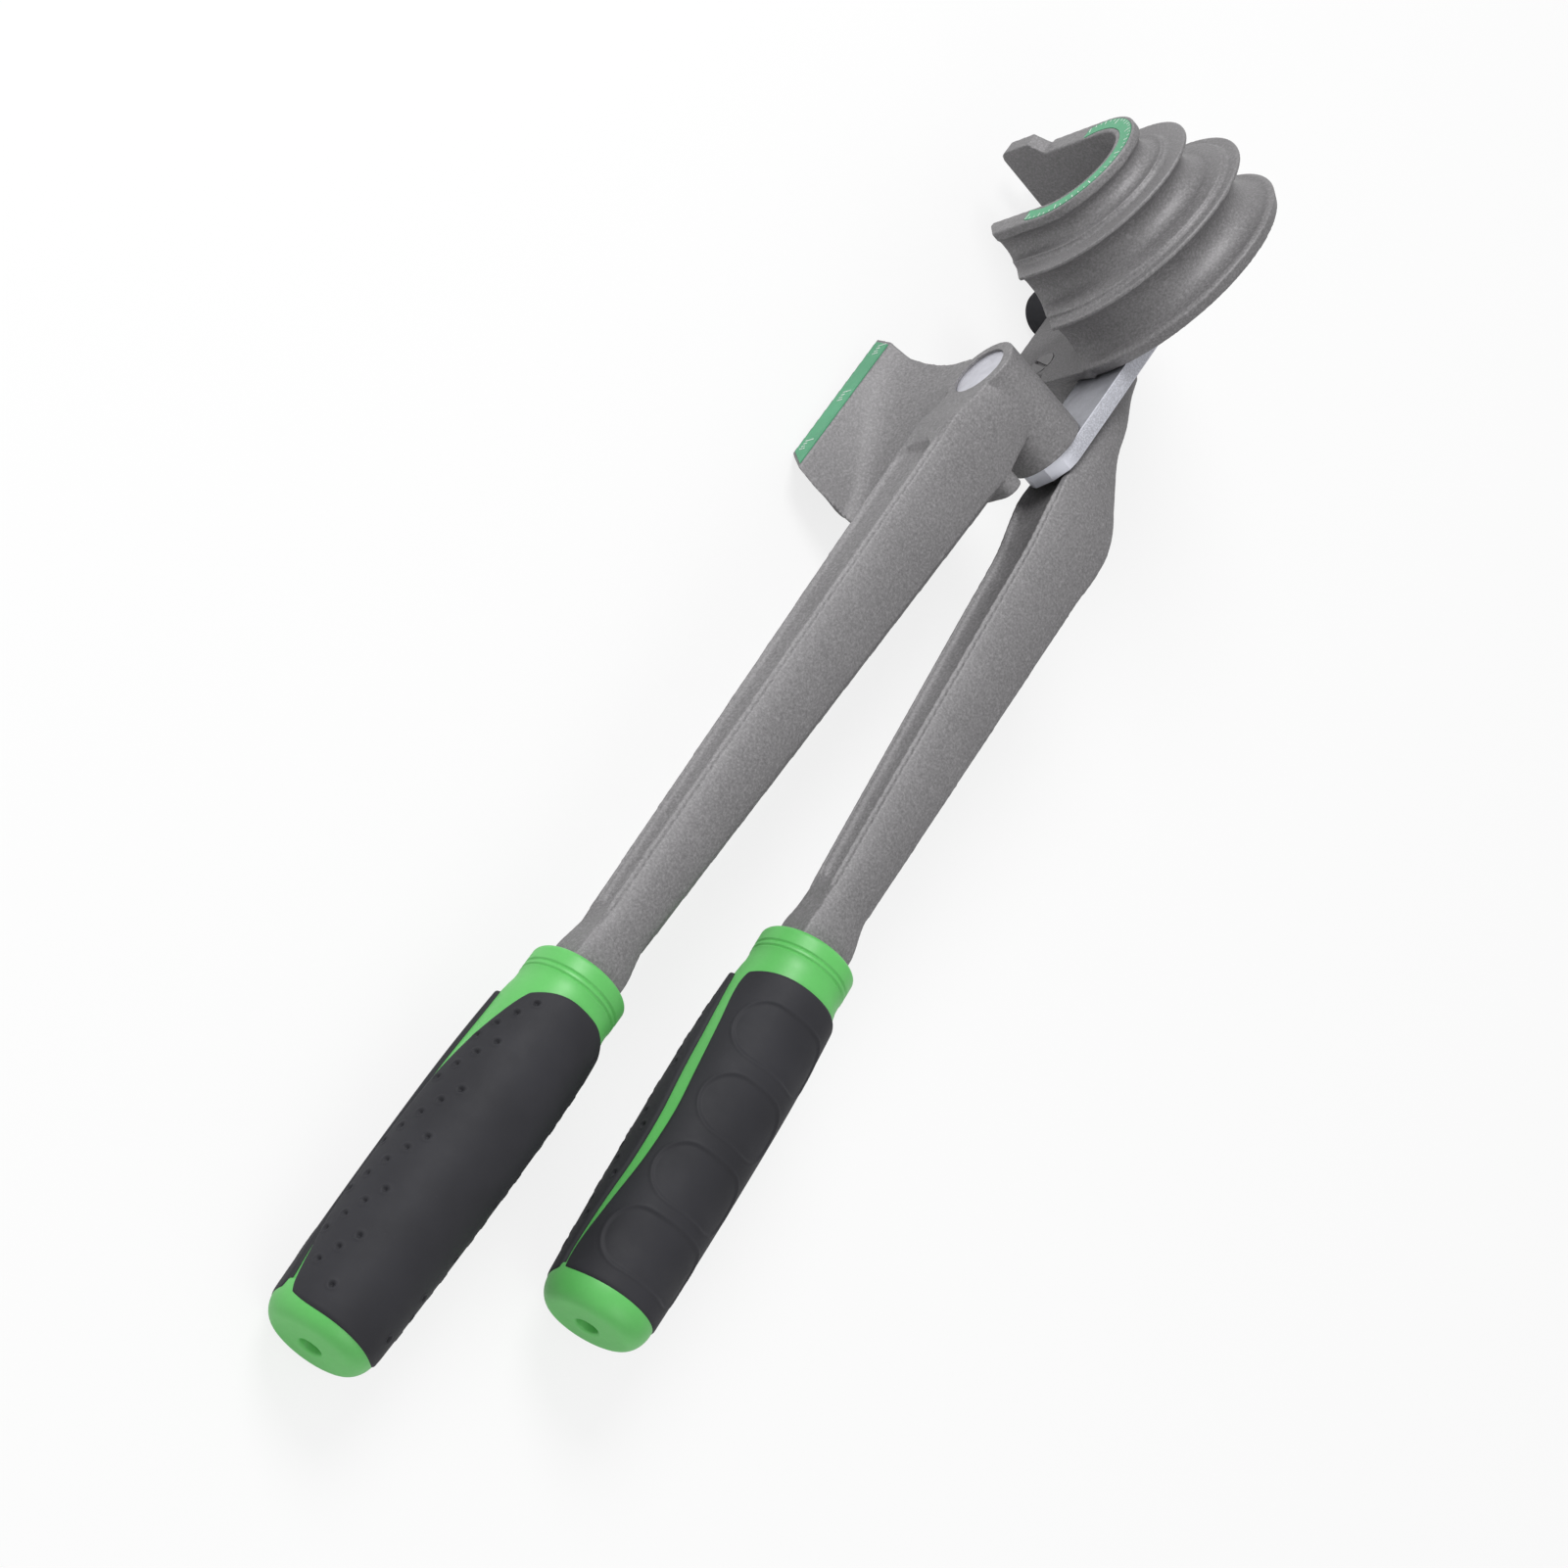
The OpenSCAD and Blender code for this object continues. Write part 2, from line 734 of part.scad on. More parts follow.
module shoe_slice(x, part) {
    arm_slice(x, shoe_line(x), part * shoe_root_h, part * shoe_root_w);
}

// Stepped block that presses the tube, drawn from the pin outwards
module shoe_block() {
    translate([link_len, 0, 0])
        difference() {
            union() {
                translate([0, 0, shoe_low])
                    linear_extrude(shoe_top - shoe_low)
                        wall_outline();
                translate([0, 0, shoe_low])
                    linear_extrude(web_top - shoe_low)
                        web_outline();
                translate([0, 0, shoe_low])
                    linear_extrude(ear_t)
                        ear_outline();
            }
            translate([-shoe_len, -2 * reach_small, -over])
                cube([3 * shoe_len, 2 * reach_small - reach_large, step_mid_z + over]);
            translate([-shoe_len, -2 * reach_small, -over])
                cube([3 * shoe_len, 2 * reach_small - reach_mid, step_small_z + over]);
            for (g = [[link_len - bend_large_r, large_z, groove_large],
                    [link_len - bend_mid_r, mid_z, groove_mid],
                    [link_len - bend_small_r, small_z, groove_small]])
                translate([-shoe_len, -g[0], g[1]])
                    rotate([0, 90, 0])
                        cylinder(r = g[2], h = 3 * shoe_len);
            translate([-shoe_lead - over, -barrel_d / 2, barrel_top + dip_r])
                rotate([0, 90, 0])
                    cylinder(r = dip_r, h = corner_r);
        }
}

module wall_outline() {
    difference() {
        shoe_plan(0.3 * barrel_d);
        translate([corner_r, corner_r - wall_y])
            circle(r = corner_r);
        translate([corner_r, -wall_y])
            square([shoe_len, wall_y]);
    }
}

// Ends of the shoe at a distance y in front of its axis
function near_x(y) = -shoe_lead - 0.5 * shoe_slant * max(0, y - wall_y) / (reach_small - wall_y);
function far_x(y) = shoe_len - shoe_lead - shoe_slant * max(0, y - wall_y) / (reach_small - wall_y);

module shoe_plan(y) {
    polygon([
        [near_x(y), -y], [near_x(wall_y), -wall_y], [near_x(reach_small), -reach_small],
        [far_x(reach_small), -reach_small], [far_x(wall_y), -wall_y], [far_x(y), -y]]);
}

module web_outline() {
    polygon([
        [-shoe_lead, -0.3 * barrel_d], [-shoe_lead, -wall_y - over],
        [shoe_len - shoe_lead, -wall_y - over],
        [shoe_len - shoe_lead, -0.35 * shoe_root_w],
        [0, -0.35 * shoe_root_w]]);
}

module ear_outline() {
    union() {
        translate([ear_x - ear_w / 2, -wall_y])
            square([ear_w, wall_y + ear_y - ear_w / 2]);
        translate([ear_x, ear_y - ear_w / 2])
            circle(d = ear_w);
    }
}

module shoe_bushing() {
    color(steel)
        lay()
            translate([link_len, 0, barrel_low])
                difference() {
                    cylinder(r = pin_r + bush_t, h = barrel_h - pin_recess - pin_head_t - 2 * seat);
                    translate([0, 0, -over])
                        cylinder(r = pin_r + run_fit, h = barrel_h + 2 * over);
                }
}

module shoe_label() {
    color(mint)
        lay()
            translate([link_len, 0, shoe_top])
                linear_extrude(0.5 * label_t)
                    strip_outline(reach_small - strip_edge, reach_small - strip_edge - strip_w);
}

module strip_outline(front, back) {
    polygon([
        [near_x(front) + strip_edge, -front], [far_x(front) - strip_edge, -front],
        [far_x(back) - strip_edge, -back], [near_x(back) + strip_edge, -back]]);
}

// Places a grip, whose own axis is X and whose collar starts at zero
module shoe_grip_place() {
    translate([shoe_grip_x, 0, shoe_line(shoe_grip_x)])
        rotate([0, -shoe_grip_deg, 0])
            children();
}

module die_grip_place() {
    translate([die_grip_x, 0, die_line(die_grip_x)])
        rotate([0, die_drop_deg, 0])
            children();
}

pad_start = 13;
pad_rise = 1;
pad_play = 0.25;
pad_play_deg = 0.8;
bore_play = 0.05;
rib_d = 0.5;
bed_start = pad_start + rib_d;
bore_r = tang_d / 2 + bore_play;

// Radius of the grip at a share t of its length between collar and cap
function swell(t) = swell_d / 2
    - (swell_d - waist_d) / 2 * pow(max(0, t - 0.35) / 0.65, 2)
    - pad_rise * pow(max(0, 0.35 - t) / 0.35, 2);
grip_steps = 14;
function grip_x_at(i) = pad_start + (grip_body - pad_start) * i / grip_steps;

// One revolved body with a bed for each pad
module grip_sleeve() {
    rotate([90, 0, 90])
        difference() {
            rotate_extrude()
                polygon(concat(
                    [[bore_r, 0], [0.46 * collar_d, 0], [0.49 * collar_d, over],
                    [collar_d / 2, 2 * over],
                    [collar_d / 2, 0.36 * pad_start],
                    [collar_d / 2 - rib_d, 0.4 * pad_start],
                    [collar_d / 2, 0.44 * pad_start],
                    [collar_d / 2, 0.7 * pad_start],
                    [collar_d / 2 - rib_d, 0.74 * pad_start],
                    [collar_d / 2, 0.78 * pad_start]],
                    [for (i = [0:grip_steps])
                        [swell(i / grip_steps), grip_x_at(i)]],
                    [[bore_r, grip_body]]));
            for (a = [-90, 90])
                rotate([0, 0, a + split_deg / 2])
                    rotate_extrude(angle = 180 - split_deg)
                        polygon(concat(
                            [for (i = [0:grip_steps])
                                [swell(i / grip_steps) - pad_t, max(bed_start, grip_x_at(i))]],
                            [[waist_d / 2 - pad_t, grip_body + over],
                            [swell_d, grip_body + over], [swell_d, bed_start]]));
        }
}

module grip_pad(turn) {
    rotate([90, 0, 90])
        rotate([0, 0, turn + split_deg / 2 + pad_play_deg])
            rotate_extrude(angle = 180 - split_deg - 2 * pad_play_deg)
                polygon(concat(
                    [for (i = [0:grip_steps])
                        [swell(i / grip_steps) - pad_t + pad_play,
                            max(grip_x_at(i), bed_start + pad_play)]],
                    [for (i = [grip_steps:-1:0])
                        [swell(i / grip_steps) + (i == 0 || i == grip_steps ? -0.2 : 0.1) * pad_t,
                            max(grip_x_at(i), bed_start + pad_play)]]));
}

module grip_cap() {
    rotate([90, 0, 90])
        translate([0, 0, grip_body])
            difference() {
                rotate_extrude()
                    polygon([
                        [0, 0], [cap_d / 2, 0], [cap_d / 2, 0.5 * cap_len],
                        [0.49 * cap_d, 0.72 * cap_len], [0.465 * cap_d, 0.88 * cap_len],
                        [0.43 * cap_d, 0.97 * cap_len], [0.38 * cap_d, cap_len],
                        [0, cap_len]]);
                translate([0, 0, cap_len - hang_l])
                    cylinder(r = hang_d / 2, h = hang_l + over);
            }
}

module die_grip_sleeve() {
    color(green) lay() die_grip_place() grip_sleeve();
}

module die_grip_palm_pad() {
    color(black) lay() die_grip_place() grip_pad(90);
}

module die_grip_finger_pad() {
    color(black) lay() die_grip_place() grip_pad(-90);
}

module die_grip_end_cap() {
    color(green) lay() die_grip_place() grip_cap();
}

module shoe_grip_sleeve() {
    color(green) lay() shoe_grip_place() grip_sleeve();
}

module shoe_grip_palm_pad() {
    color(black) lay() shoe_grip_place() grip_pad(-90);
}

module shoe_grip_finger_pad() {
    color(black) lay() shoe_grip_place() grip_pad(90);
}

module shoe_grip_end_cap() {
    color(green) lay() shoe_grip_place() grip_cap();
}

bending_die();
angle_label();
pivot_bolt();
pivot_washer();
pivot_nut();
die_arm();
tail_screws();
latch_pin();
die_grip_sleeve();
die_grip_palm_pad();
die_grip_finger_pad();
die_grip_end_cap();
tube_latch();
tail_foot();
link_plate();
shoe_pin();
shoe_arm();
shoe_bushing();
shoe_label();
shoe_grip_sleeve();
shoe_grip_palm_pad();
shoe_grip_finger_pad();
shoe_grip_end_cap();
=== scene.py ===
"""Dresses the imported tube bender: castings, link, scales, grips and a plain studio."""
import json
import math

import bmesh
import bpy
from mathutils import Matrix, Vector


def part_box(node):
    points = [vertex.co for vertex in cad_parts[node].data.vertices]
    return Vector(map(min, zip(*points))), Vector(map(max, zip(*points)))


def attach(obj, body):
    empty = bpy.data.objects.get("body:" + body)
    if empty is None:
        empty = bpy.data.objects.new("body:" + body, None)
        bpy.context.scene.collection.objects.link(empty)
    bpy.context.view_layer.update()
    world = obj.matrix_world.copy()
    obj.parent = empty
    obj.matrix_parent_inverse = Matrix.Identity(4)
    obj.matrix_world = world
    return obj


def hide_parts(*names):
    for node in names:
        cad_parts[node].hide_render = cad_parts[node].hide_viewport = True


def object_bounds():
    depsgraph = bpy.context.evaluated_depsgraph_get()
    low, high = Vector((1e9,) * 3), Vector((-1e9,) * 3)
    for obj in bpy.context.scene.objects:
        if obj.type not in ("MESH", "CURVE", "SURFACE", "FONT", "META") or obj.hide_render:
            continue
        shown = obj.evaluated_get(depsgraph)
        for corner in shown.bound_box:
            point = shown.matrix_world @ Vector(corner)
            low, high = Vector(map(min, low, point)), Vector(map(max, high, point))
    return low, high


bl_info = {
    "name": "Tube Bender",
    "version": (1, 0, 0),
    "blender": (4, 5, 0),
    "location": "View3D > Sidebar > Tube Bender",
    "description": "Builds the visible pieces of a lever tube bender on its packed frame",
    "category": "Add Mesh",
}

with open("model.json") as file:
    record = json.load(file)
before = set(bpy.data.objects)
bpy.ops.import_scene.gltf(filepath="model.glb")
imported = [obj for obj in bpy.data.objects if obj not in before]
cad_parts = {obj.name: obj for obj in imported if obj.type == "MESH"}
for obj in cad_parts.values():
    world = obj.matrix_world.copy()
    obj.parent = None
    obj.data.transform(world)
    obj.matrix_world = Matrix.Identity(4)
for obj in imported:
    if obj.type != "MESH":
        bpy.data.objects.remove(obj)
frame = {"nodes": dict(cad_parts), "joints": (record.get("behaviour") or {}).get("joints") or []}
CAD_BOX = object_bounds()

MM = 0.001
JOINTS = {j["name"]: j for j in frame["joints"]}
PIN = JOINTS["shoe_swing"]["pos_m"]
LEAN = math.atan2(-PIN[2], PIN[0])
LINK_LEN = math.hypot(PIN[0], PIN[2]) / MM
# The standing drawing has the hinge axis as Z; this lays it on its side as the frame lies
LAY = Matrix.Rotation(LEAN, 4, "Y") @ Matrix.Rotation(math.pi / 2, 4, "X") @ Matrix.Scale(MM, 4)


# ---------------------------------------------------------------- materials

class Finish:
    """A node material that is built up from short calls."""

    def __init__(self, name):
        old = bpy.data.materials.get(name)
        if old:
            bpy.data.materials.remove(old)
        self.mat = bpy.data.materials.new(name)
        self.mat.use_nodes = True
        self.tree = self.mat.node_tree
        self.shader = self.tree.nodes["Principled BSDF"]
        coords = self.add("ShaderNodeTexCoord")
        self.place = coords.outputs["Object"]

    def add(self, kind, **values):
        node = self.tree.nodes.new(kind)
        for key, value in values.items():
            setattr(node, key, value)
        return node

    def join(self, a, b):
        self.tree.links.new(a, b)

    def set(self, **values):
        for key, value in values.items():
            self.shader.inputs[key.replace("_", " ")].default_value = value

    def noise(self, scale, detail=3.0, rough=0.55):
        node = self.add("ShaderNodeTexNoise")
        node.inputs["Scale"].default_value = scale
        node.inputs["Detail"].default_value = detail
        node.inputs["Roughness"].default_value = rough
        self.join(self.place, node.inputs["Vector"])
        return node.outputs["Fac"]

    def ramp(self, source, *stops):
        node = self.add("ShaderNodeValToRGB")
        ramp = node.color_ramp
        while len(ramp.elements) < len(stops):
            ramp.elements.new(0.5)
        for element, (at, color) in zip(ramp.elements, stops):
            element.position = at
            element.color = (*color, 1)
        self.join(source, node.inputs["Fac"])
        return node.outputs["Color"]

    def grey(self, source, low, high, a=0.0, b=1.0):
        node = self.add("ShaderNodeMapRange")
        node.inputs["From Min"].default_value = a
        node.inputs["From Max"].default_value = b
        node.inputs["To Min"].default_value = low
        node.inputs["To Max"].default_value = high
        self.join(source, node.inputs["Value"])
        return node.outputs["Result"]

    def mix(self, share, under, over):
        """Lays a plain colour over another one by a share."""
        node = self.add("ShaderNodeMix", data_type="RGBA")
        # A mix node keeps its colours in the sockets 6 and 7, and gives its colour in the third
        self.join(share, node.inputs[0])
        self.join(under, node.inputs[6])
        node.inputs[7].default_value = (*over, 1)
        return node.outputs[2]

    def math(self, how, a, b):
        node = self.add("ShaderNodeMath", operation=how)
        for socket, value in ((node.inputs[0], a), (node.inputs[1], b)):
            if isinstance(value, (int, float)):
                socket.default_value = value
            else:
                self.join(value, socket)
        return node.outputs[0]

    def bump(self, *layers, round_edges=0.0):
        """Stacks (height, strength, distance) layers, on edges that a bevel may soften."""
        normal = None
        if round_edges:
            edge = self.add("ShaderNodeBevel", samples=4)
            edge.inputs["Radius"].default_value = round_edges
            normal = edge.outputs["Normal"]
        for height, strength, distance in layers:
            node = self.add("ShaderNodeBump")
            node.inputs["Strength"].default_value = strength
            node.inputs["Distance"].default_value = distance
            self.join(height, node.inputs["Height"])
            if normal:
                self.join(normal, node.inputs["Normal"])
            normal = node.outputs["Normal"]
        self.join(normal, self.shader.inputs["Normal"])

    def edge_wear_and_highlight(self, low, high):
        """Grows from 0 to 1 towards the convex edges of a mesh; the finishes use it for edge wear
        and painted highlights.
        """
        geometry = self.add("ShaderNodeNewGeometry")
        return self.grey(geometry.outputs["Pointiness"], 0.0, 1.0, low, high)


def shade(color, k):
    """A colour made k times as bright."""
    return tuple(min(1.0, c * k) for c in color[:3])


def casting_finish(settings):
    """Blasted iron under thin matt grey paint."""
    f = Finish("matt_grey_casting")
    base = settings.casting_color
    grain = f.noise(1500, 2, 0.6)
    fine = f.noise(3200, 2, 0.6)
    blotch = f.noise(38, 3)
    tone = f.ramp(blotch, (0.3, shade(base, 0.93)), (0.72, shade(base, 1.08)))
    tone = f.mix(f.grey(grain, 0.0, 0.75, 0.5, 0.72), tone, shade(base, 1.55))
    tone = f.mix(f.grey(grain, 0.6, 0.0, 0.3, 0.48), tone, shade(base, 0.62))
    tone = f.mix(f.grey(fine, 0.0, 0.5, 0.5, 0.75), tone, shade(base, 1.4))
    # Convex edges are lightened in patches: partly edge wear, partly a painted highlight along the
    # rims
    worn_and_highlit_edges = f.math("MULTIPLY", f.edge_wear_and_highlight(0.53, 0.62), f.grey(f.noise(260), 0.1, 0.6))
    tone = f.mix(worn_and_highlit_edges, tone, shade(base, 1.8))
    f.join(tone, f.shader.inputs["Base Color"])
    f.join(f.grey(grain, 0.5, 0.68), f.shader.inputs["Roughness"])
    f.set(Metallic=0.35)
    f.bump((grain, 0.5, 0.00012), (fine, 0.35, 0.00005))
    return f.mat


def zinc_finish(settings):
    """Zinc plate with a faint cloudiness."""
    f = Finish("zinc_plate")
    base = settings.zinc_color
    cloud = f.noise(420, 4, 0.65)
    tone = f.ramp(cloud, (0.3, shade(base, 0.86)), (0.7, shade(base, 1.1)))
    tone = f.mix(f.grey(f.noise(1900, 2), 0.0, 0.25, 0.5, 0.7), tone, shade(base, 1.5))
    f.join(tone, f.shader.inputs["Base Color"])
    f.join(f.grey(cloud, 0.34, 0.52), f.shader.inputs["Roughness"])
    f.set(Metallic=0.6)
    f.bump((f.noise(1400, 2), 0.15, 0.00006))
    return f.mat


def sheared_finish(settings):
    """Plated edge of sheared steel, speckled by the tool."""
    f = Finish("sheared_zinc_edge")
    base = settings.zinc_color
    speck = f.noise(2300, 2, 0.6)
    tone = f.ramp(
        speck, (0.38, shade(base, 0.62)), (0.5, shade(base, 1.0)), (0.63, shade(base, 1.7)))
    # The convex arrises are painted near white: a painted highlight along the link's edges
    tone = f.mix(f.edge_wear_and_highlight(0.51, 0.57), tone, shade(base, 2.4))
    f.join(tone, f.shader.inputs["Base Color"])
    f.join(f.grey(speck, 0.3, 0.6), f.shader.inputs["Roughness"])
    f.set(Metallic=0.6)
    f.bump((speck, 0.18, 0.00006))
    return f.mat


def bright_finish(settings):
    """Turned steel, slightly cloudy."""
    f = Finish("turned_steel")
    base = settings.bright_color
    tone = f.ramp(f.noise(300, 5), (0.3, shade(base, 0.88)), (0.7, shade(base, 1.08)))
    f.join(tone, f.shader.inputs["Base Color"])
    f.join(f.grey(f.noise(900), 0.28, 0.42), f.shader.inputs["Roughness"])
    f.set(Metallic=0.75)
    f.bump((f.noise(2200, 2), 0.08, 0.00004), round_edges=0.0003)
    return f.mat


def green_finish(settings):
    """Satin moulded plastic."""
    f = Finish("satin_green_plastic")
    base = settings.green_color
    tone = f.ramp(f.noise(60, 2), (0.3, shade(base, 0.94)), (0.7, shade(base, 1.05)))
    tone = f.mix(f.grey(f.noise(900, 4), 0.0, 0.12, 0.45, 0.75), tone, shade(base, 1.3))
    f.join(tone, f.shader.inputs["Base Color"])
    f.join(f.grey(f.noise(500), 0.36, 0.5), f.shader.inputs["Roughness"])
    f.set(Subsurface_Weight=0.08, Subsurface_Radius=(0.001, 0.002, 0.001))
    f.bump((f.noise(2400, 2), 0.12, 0.00005), round_edges=0.0003)
    return f.mat


def rubber_finish(settings):
    """Soft moulded rubber with a fine matt grain."""
    f = Finish("soft_black_rubber")
    base = settings.rubber_color
    tone = f.ramp(f.noise(40, 3), (0.3, shade(base, 0.85)), (0.7, shade(base, 1.2)))
    dust = f.grey(f.noise(1700, 5, 0.7), 0.0, 0.3, 0.6, 0.8)
    tone = f.mix(dust, tone, shade(base, 2.2))
    f.join(tone, f.shader.inputs["Base Color"])
    f.join(f.grey(f.noise(300), 0.6, 0.72), f.shader.inputs["Roughness"])
    f.set(Specular_IOR_Level=0.32)
    f.bump((f.noise(3000, 2), 0.3, 0.00005))
    return f.mat


def scale_finish(settings):
    """Green printed film, a little scuffed."""
    f = Finish("green_scale_film")
    base = settings.scale_color
    tone = f.ramp(f.noise(70, 3), (0.3, shade(base, 0.9)), (0.7, shade(base, 1.1)))
    scuffs = f.grey(f.noise(800, 6, 0.75), 0.0, 0.8, 0.66, 0.72)
    tone = f.mix(scuffs, tone, (0.55, 0.6, 0.56))
    f.join(tone, f.shader.inputs["Base Color"])
    f.join(f.grey(f.noise(400), 0.4, 0.6), f.shader.inputs["Roughness"])
    f.bump((f.noise(1800, 2), 0.12, 0.00005))
    return f.mat


def print_finish(settings):
    """White print on the scales."""
    f = Finish("white_print")
    tone = f.ramp(f.noise(900, 5, 0.7), (0.36, (0.45, 0.5, 0.47)), (0.6, (0.8, 0.82, 0.8)))
    f.join(tone, f.shader.inputs["Base Color"])
    f.join(f.grey(f.noise(500), 0.45, 0.6), f.shader.inputs["Roughness"])
    f.bump((f.noise(1500), 0.1, 0.00004))
    return f.mat


FINISHES = {
    "casting": casting_finish,
    "zinc_steel": zinc_finish,
    "sheared": sheared_finish,
    "bright_steel": bright_finish,
    "green_plastic": green_finish,
    "black_rubber": rubber_finish,
    "scale": scale_finish,
    "white_print": print_finish,
}
MADE = {}


def finish_of(slot):
    """The material of a finish, made at its first use."""
    if slot not in MADE:
        MADE[slot] = FINISHES[slot](bpy.context.scene.tube_bender)
    return MADE[slot]


# ---------------------------------------------------------------- mesh tools

def new_piece(name, mesh, body, slot, *nodes, sharp=32.0, finishes=None):
    """Puts a laid mesh on its body, with its finish, in the place of its nodes."""
    piece = bpy.data.objects.new(name, mesh)
    bpy.context.scene.collection.objects.link(piece)
    mesh.materials.clear()
    for key in finishes or [slot]:
        mesh.materials.append(finish_of(key))
    mesh.polygons.foreach_set("use_smooth", [True] * len(mesh.polygons))
    mesh.set_sharp_from_angle(angle=math.radians(sharp))
    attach(piece, body)
    if nodes:
        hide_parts(*nodes)
    return piece


def laid_mesh(name, bm):
    """Closes a bmesh drawn in standing millimetres into a mesh in the frame."""
    bmesh.ops.remove_doubles(bm, verts=bm.verts, dist=1e-4)
    bmesh.ops.recalc_face_normals(bm, faces=bm.faces)
    bm.transform(LAY)
    mesh = bpy.data.meshes.new(name)
    bm.to_mesh(mesh)
    bm.free()
    return mesh


def fuse(name, solids, voxel, rounds, cutters=()):
    """Melts closed solids into one soft skin where a voxel size is given, then cuts its bores."""
    bm = bmesh.new()
    for mesh in solids:
        bm.from_mesh(mesh)
    bmesh.ops.remove_doubles(bm, verts=bm.verts, dist=1e-7)
    helper = helper_object(name + "_helper", bm)
    if voxel:
        skin = helper.modifiers.new("skin", "REMESH")
        skin.mode = "VOXEL"
        skin.voxel_size = voxel
        soft = helper.modifiers.new("soft", "SMOOTH")
        soft.factor = 0.5
        soft.iterations = rounds
    cutter = None
    if cutters:
        bm = bmesh.new()
        for mesh in cutters:
            bm.from_mesh(mesh)
        cutter = helper_object(name + "_cutter", bm)
        bore = helper.modifiers.new("bore", "BOOLEAN")
        bore.operation = "DIFFERENCE"
        bore.solver = "MANIFOLD"
        bore.object = cutter
    bpy.context.view_layer.update()
    graph = bpy.context.evaluated_depsgraph_get()
    made = bpy.data.meshes.new_from_object(helper.evaluated_get(graph))
    made.name = name
    for obj in filter(None, (helper, cutter)):
        mesh = obj.data
        bpy.data.objects.remove(obj)
        bpy.data.meshes.remove(mesh)
    return made


def helper_object(name, bm):
    """Puts a bmesh into the scene as it is, without a body."""
    mesh = bpy.data.meshes.new(name)
    bm.to_mesh(mesh)
    bm.free()
    obj = bpy.data.objects.new(name, mesh)
    bpy.context.scene.collection.objects.link(obj)
    return obj


def curve(table, x):
    """Smooth value through (place, value, ...) rows."""
    n = len(table)
    if x <= table[0][0]:
        return table[0][1:]
    if x >= table[-1][0]:
        return table[-1][1:]
    k = max(i for i in range(n - 1) if table[i][0] <= x)
    a, b = table[k], table[k + 1]
    before, after = table[max(0, k - 1)], table[min(n - 1, k + 2)]
    t = (x - a[0]) / (b[0] - a[0])
    out = []
    for c in range(1, len(a)):
        slope_a = (b[c] - before[c]) / (b[0] - before[0]) * (b[0] - a[0])
        slope_b = (after[c] - a[c]) / (after[0] - a[0]) * (b[0] - a[0])
        out.append((2 * t ** 3 - 3 * t ** 2 + 1) * a[c] + (t ** 3 - 2 * t ** 2 + t) * slope_a
                   + (3 * t ** 2 - 2 * t ** 3) * b[c] + (t ** 3 - t ** 2) * slope_b)
    return out


def loft(rings):
    """Closed mesh through equal rings of standing points."""
    bm = bmesh.new()
    made = [add_ring(bm, ring) for ring in rings]
    for a, b in zip(made, made[1:]):
        bridge(bm, a, b)
    bm.faces.new(made[0][::-1])
    bm.faces.new(made[-1])
    return bm


def add_ring(bm, points):
    return [bm.verts.new(p) for p in points]


def bridge(bm, a, b):
    """Joins two equal rings with a band of faces."""
    n = len(a)
    for i in range(n):
        bm.faces.new((a[i], a[(i + 1) % n], b[(i + 1) % n], b[i]))


def circle(cx, cy, r, steps):
    turns = [2 * math.pi * i / steps for i in range(steps)]
    return [(cx + r * math.cos(a), cy + r * math.sin(a)) for a in turns]


def revolve(bm, profile, place, steps=128):
    """Turns (x along, radius) points about the place's X axis; the ends close on the axis."""
    rings = []
    for x, r in profile:
        if r < 1e-6:
            rings.append(bm.verts.new(place @ Vector((x, 0, 0))))
        else:
            points = [place @ Vector((x, y, z)) for y, z in circle(0, 0, r, steps)]
            rings.append(add_ring(bm, points))
    for a, b in zip(rings, rings[1:]):
        if isinstance(a, list) and isinstance(b, list):
            bridge(bm, a, b)
        elif isinstance(b, list):
            for i in range(steps):
                bm.faces.new((a, b[(i + 1) % steps], b[i]))
        elif isinstance(a, list):
            for i in range(steps):
                bm.faces.new((b, a[i], a[(i + 1) % steps]))


def prism(bm, outline, low, high):
    """Extrudes an outline of (x, y) points between two heights."""
    bottom = [bm.verts.new((x, y, low)) for x, y in outline]
    top = [bm.verts.new((x, y, high)) for x, y in outline]
    bridge(bm, bottom, top)
    bm.faces.new(bottom[::-1])
    bm.faces.new(top)


def arc(cx, cy, r, start, end, steps):
    """Points of an arc between two angles in degrees."""
    turns = [math.radians(start + (end - start) * i / steps) for i in range(steps + 1)]
    return [(cx + r * math.cos(a), cy + r * math.sin(a)) for a in turns]


def smooth_step(t):
    """Rises smoothly from 0 at 0 to 1 at 1."""
    t = max(0.0, min(1.0, t))
    return t * t * (3 - 2 * t)


# ---------------------------------------------------------------- grips

# Axis of each handle: its level at the hinge and its rise in degrees
SHOE_AXIS, DIE_AXIS = (19.2, 0.27), (-13.5, -3.3)
SHOE_GRIP_X, DIE_GRIP_X = 273.9, 224.5


def axis_level(axis, x):
    level, rise = axis
    return level + math.tan(math.radians(rise)) * x


GRIPS = {
    "shoe": {"x": SHOE_GRIP_X, "z": axis_level(SHOE_AXIS, SHOE_GRIP_X), "rise": 0.85},
    "die": {"x": DIE_GRIP_X, "z": axis_level(DIE_AXIS, DIE_GRIP_X), "rise": -3.3},
}
GRIP_LEN, CAP_LEN, PAD_START = 112.0, 9.0, 13.0
GRIP_BODY = GRIP_LEN - CAP_LEN
COLLAR_R, SWELL_R, WAIST_R, CAP_R = 13.1, 15.1, 14.0, 14.1
# Share of the core's length at which it is fullest, and how much slimmer it starts
SWELL_AT, FRONT_DROP = 0.35, 1.0


def grip_place(which):
    """Standing place of a grip: X along its axis, Y up from the bench, Z up the stack."""
    g = GRIPS[which]
    turn = Matrix.Rotation(-math.radians(g["rise"]), 4, "Y")
    return Matrix.Translation((g["x"], 0, g["z"])) @ turn


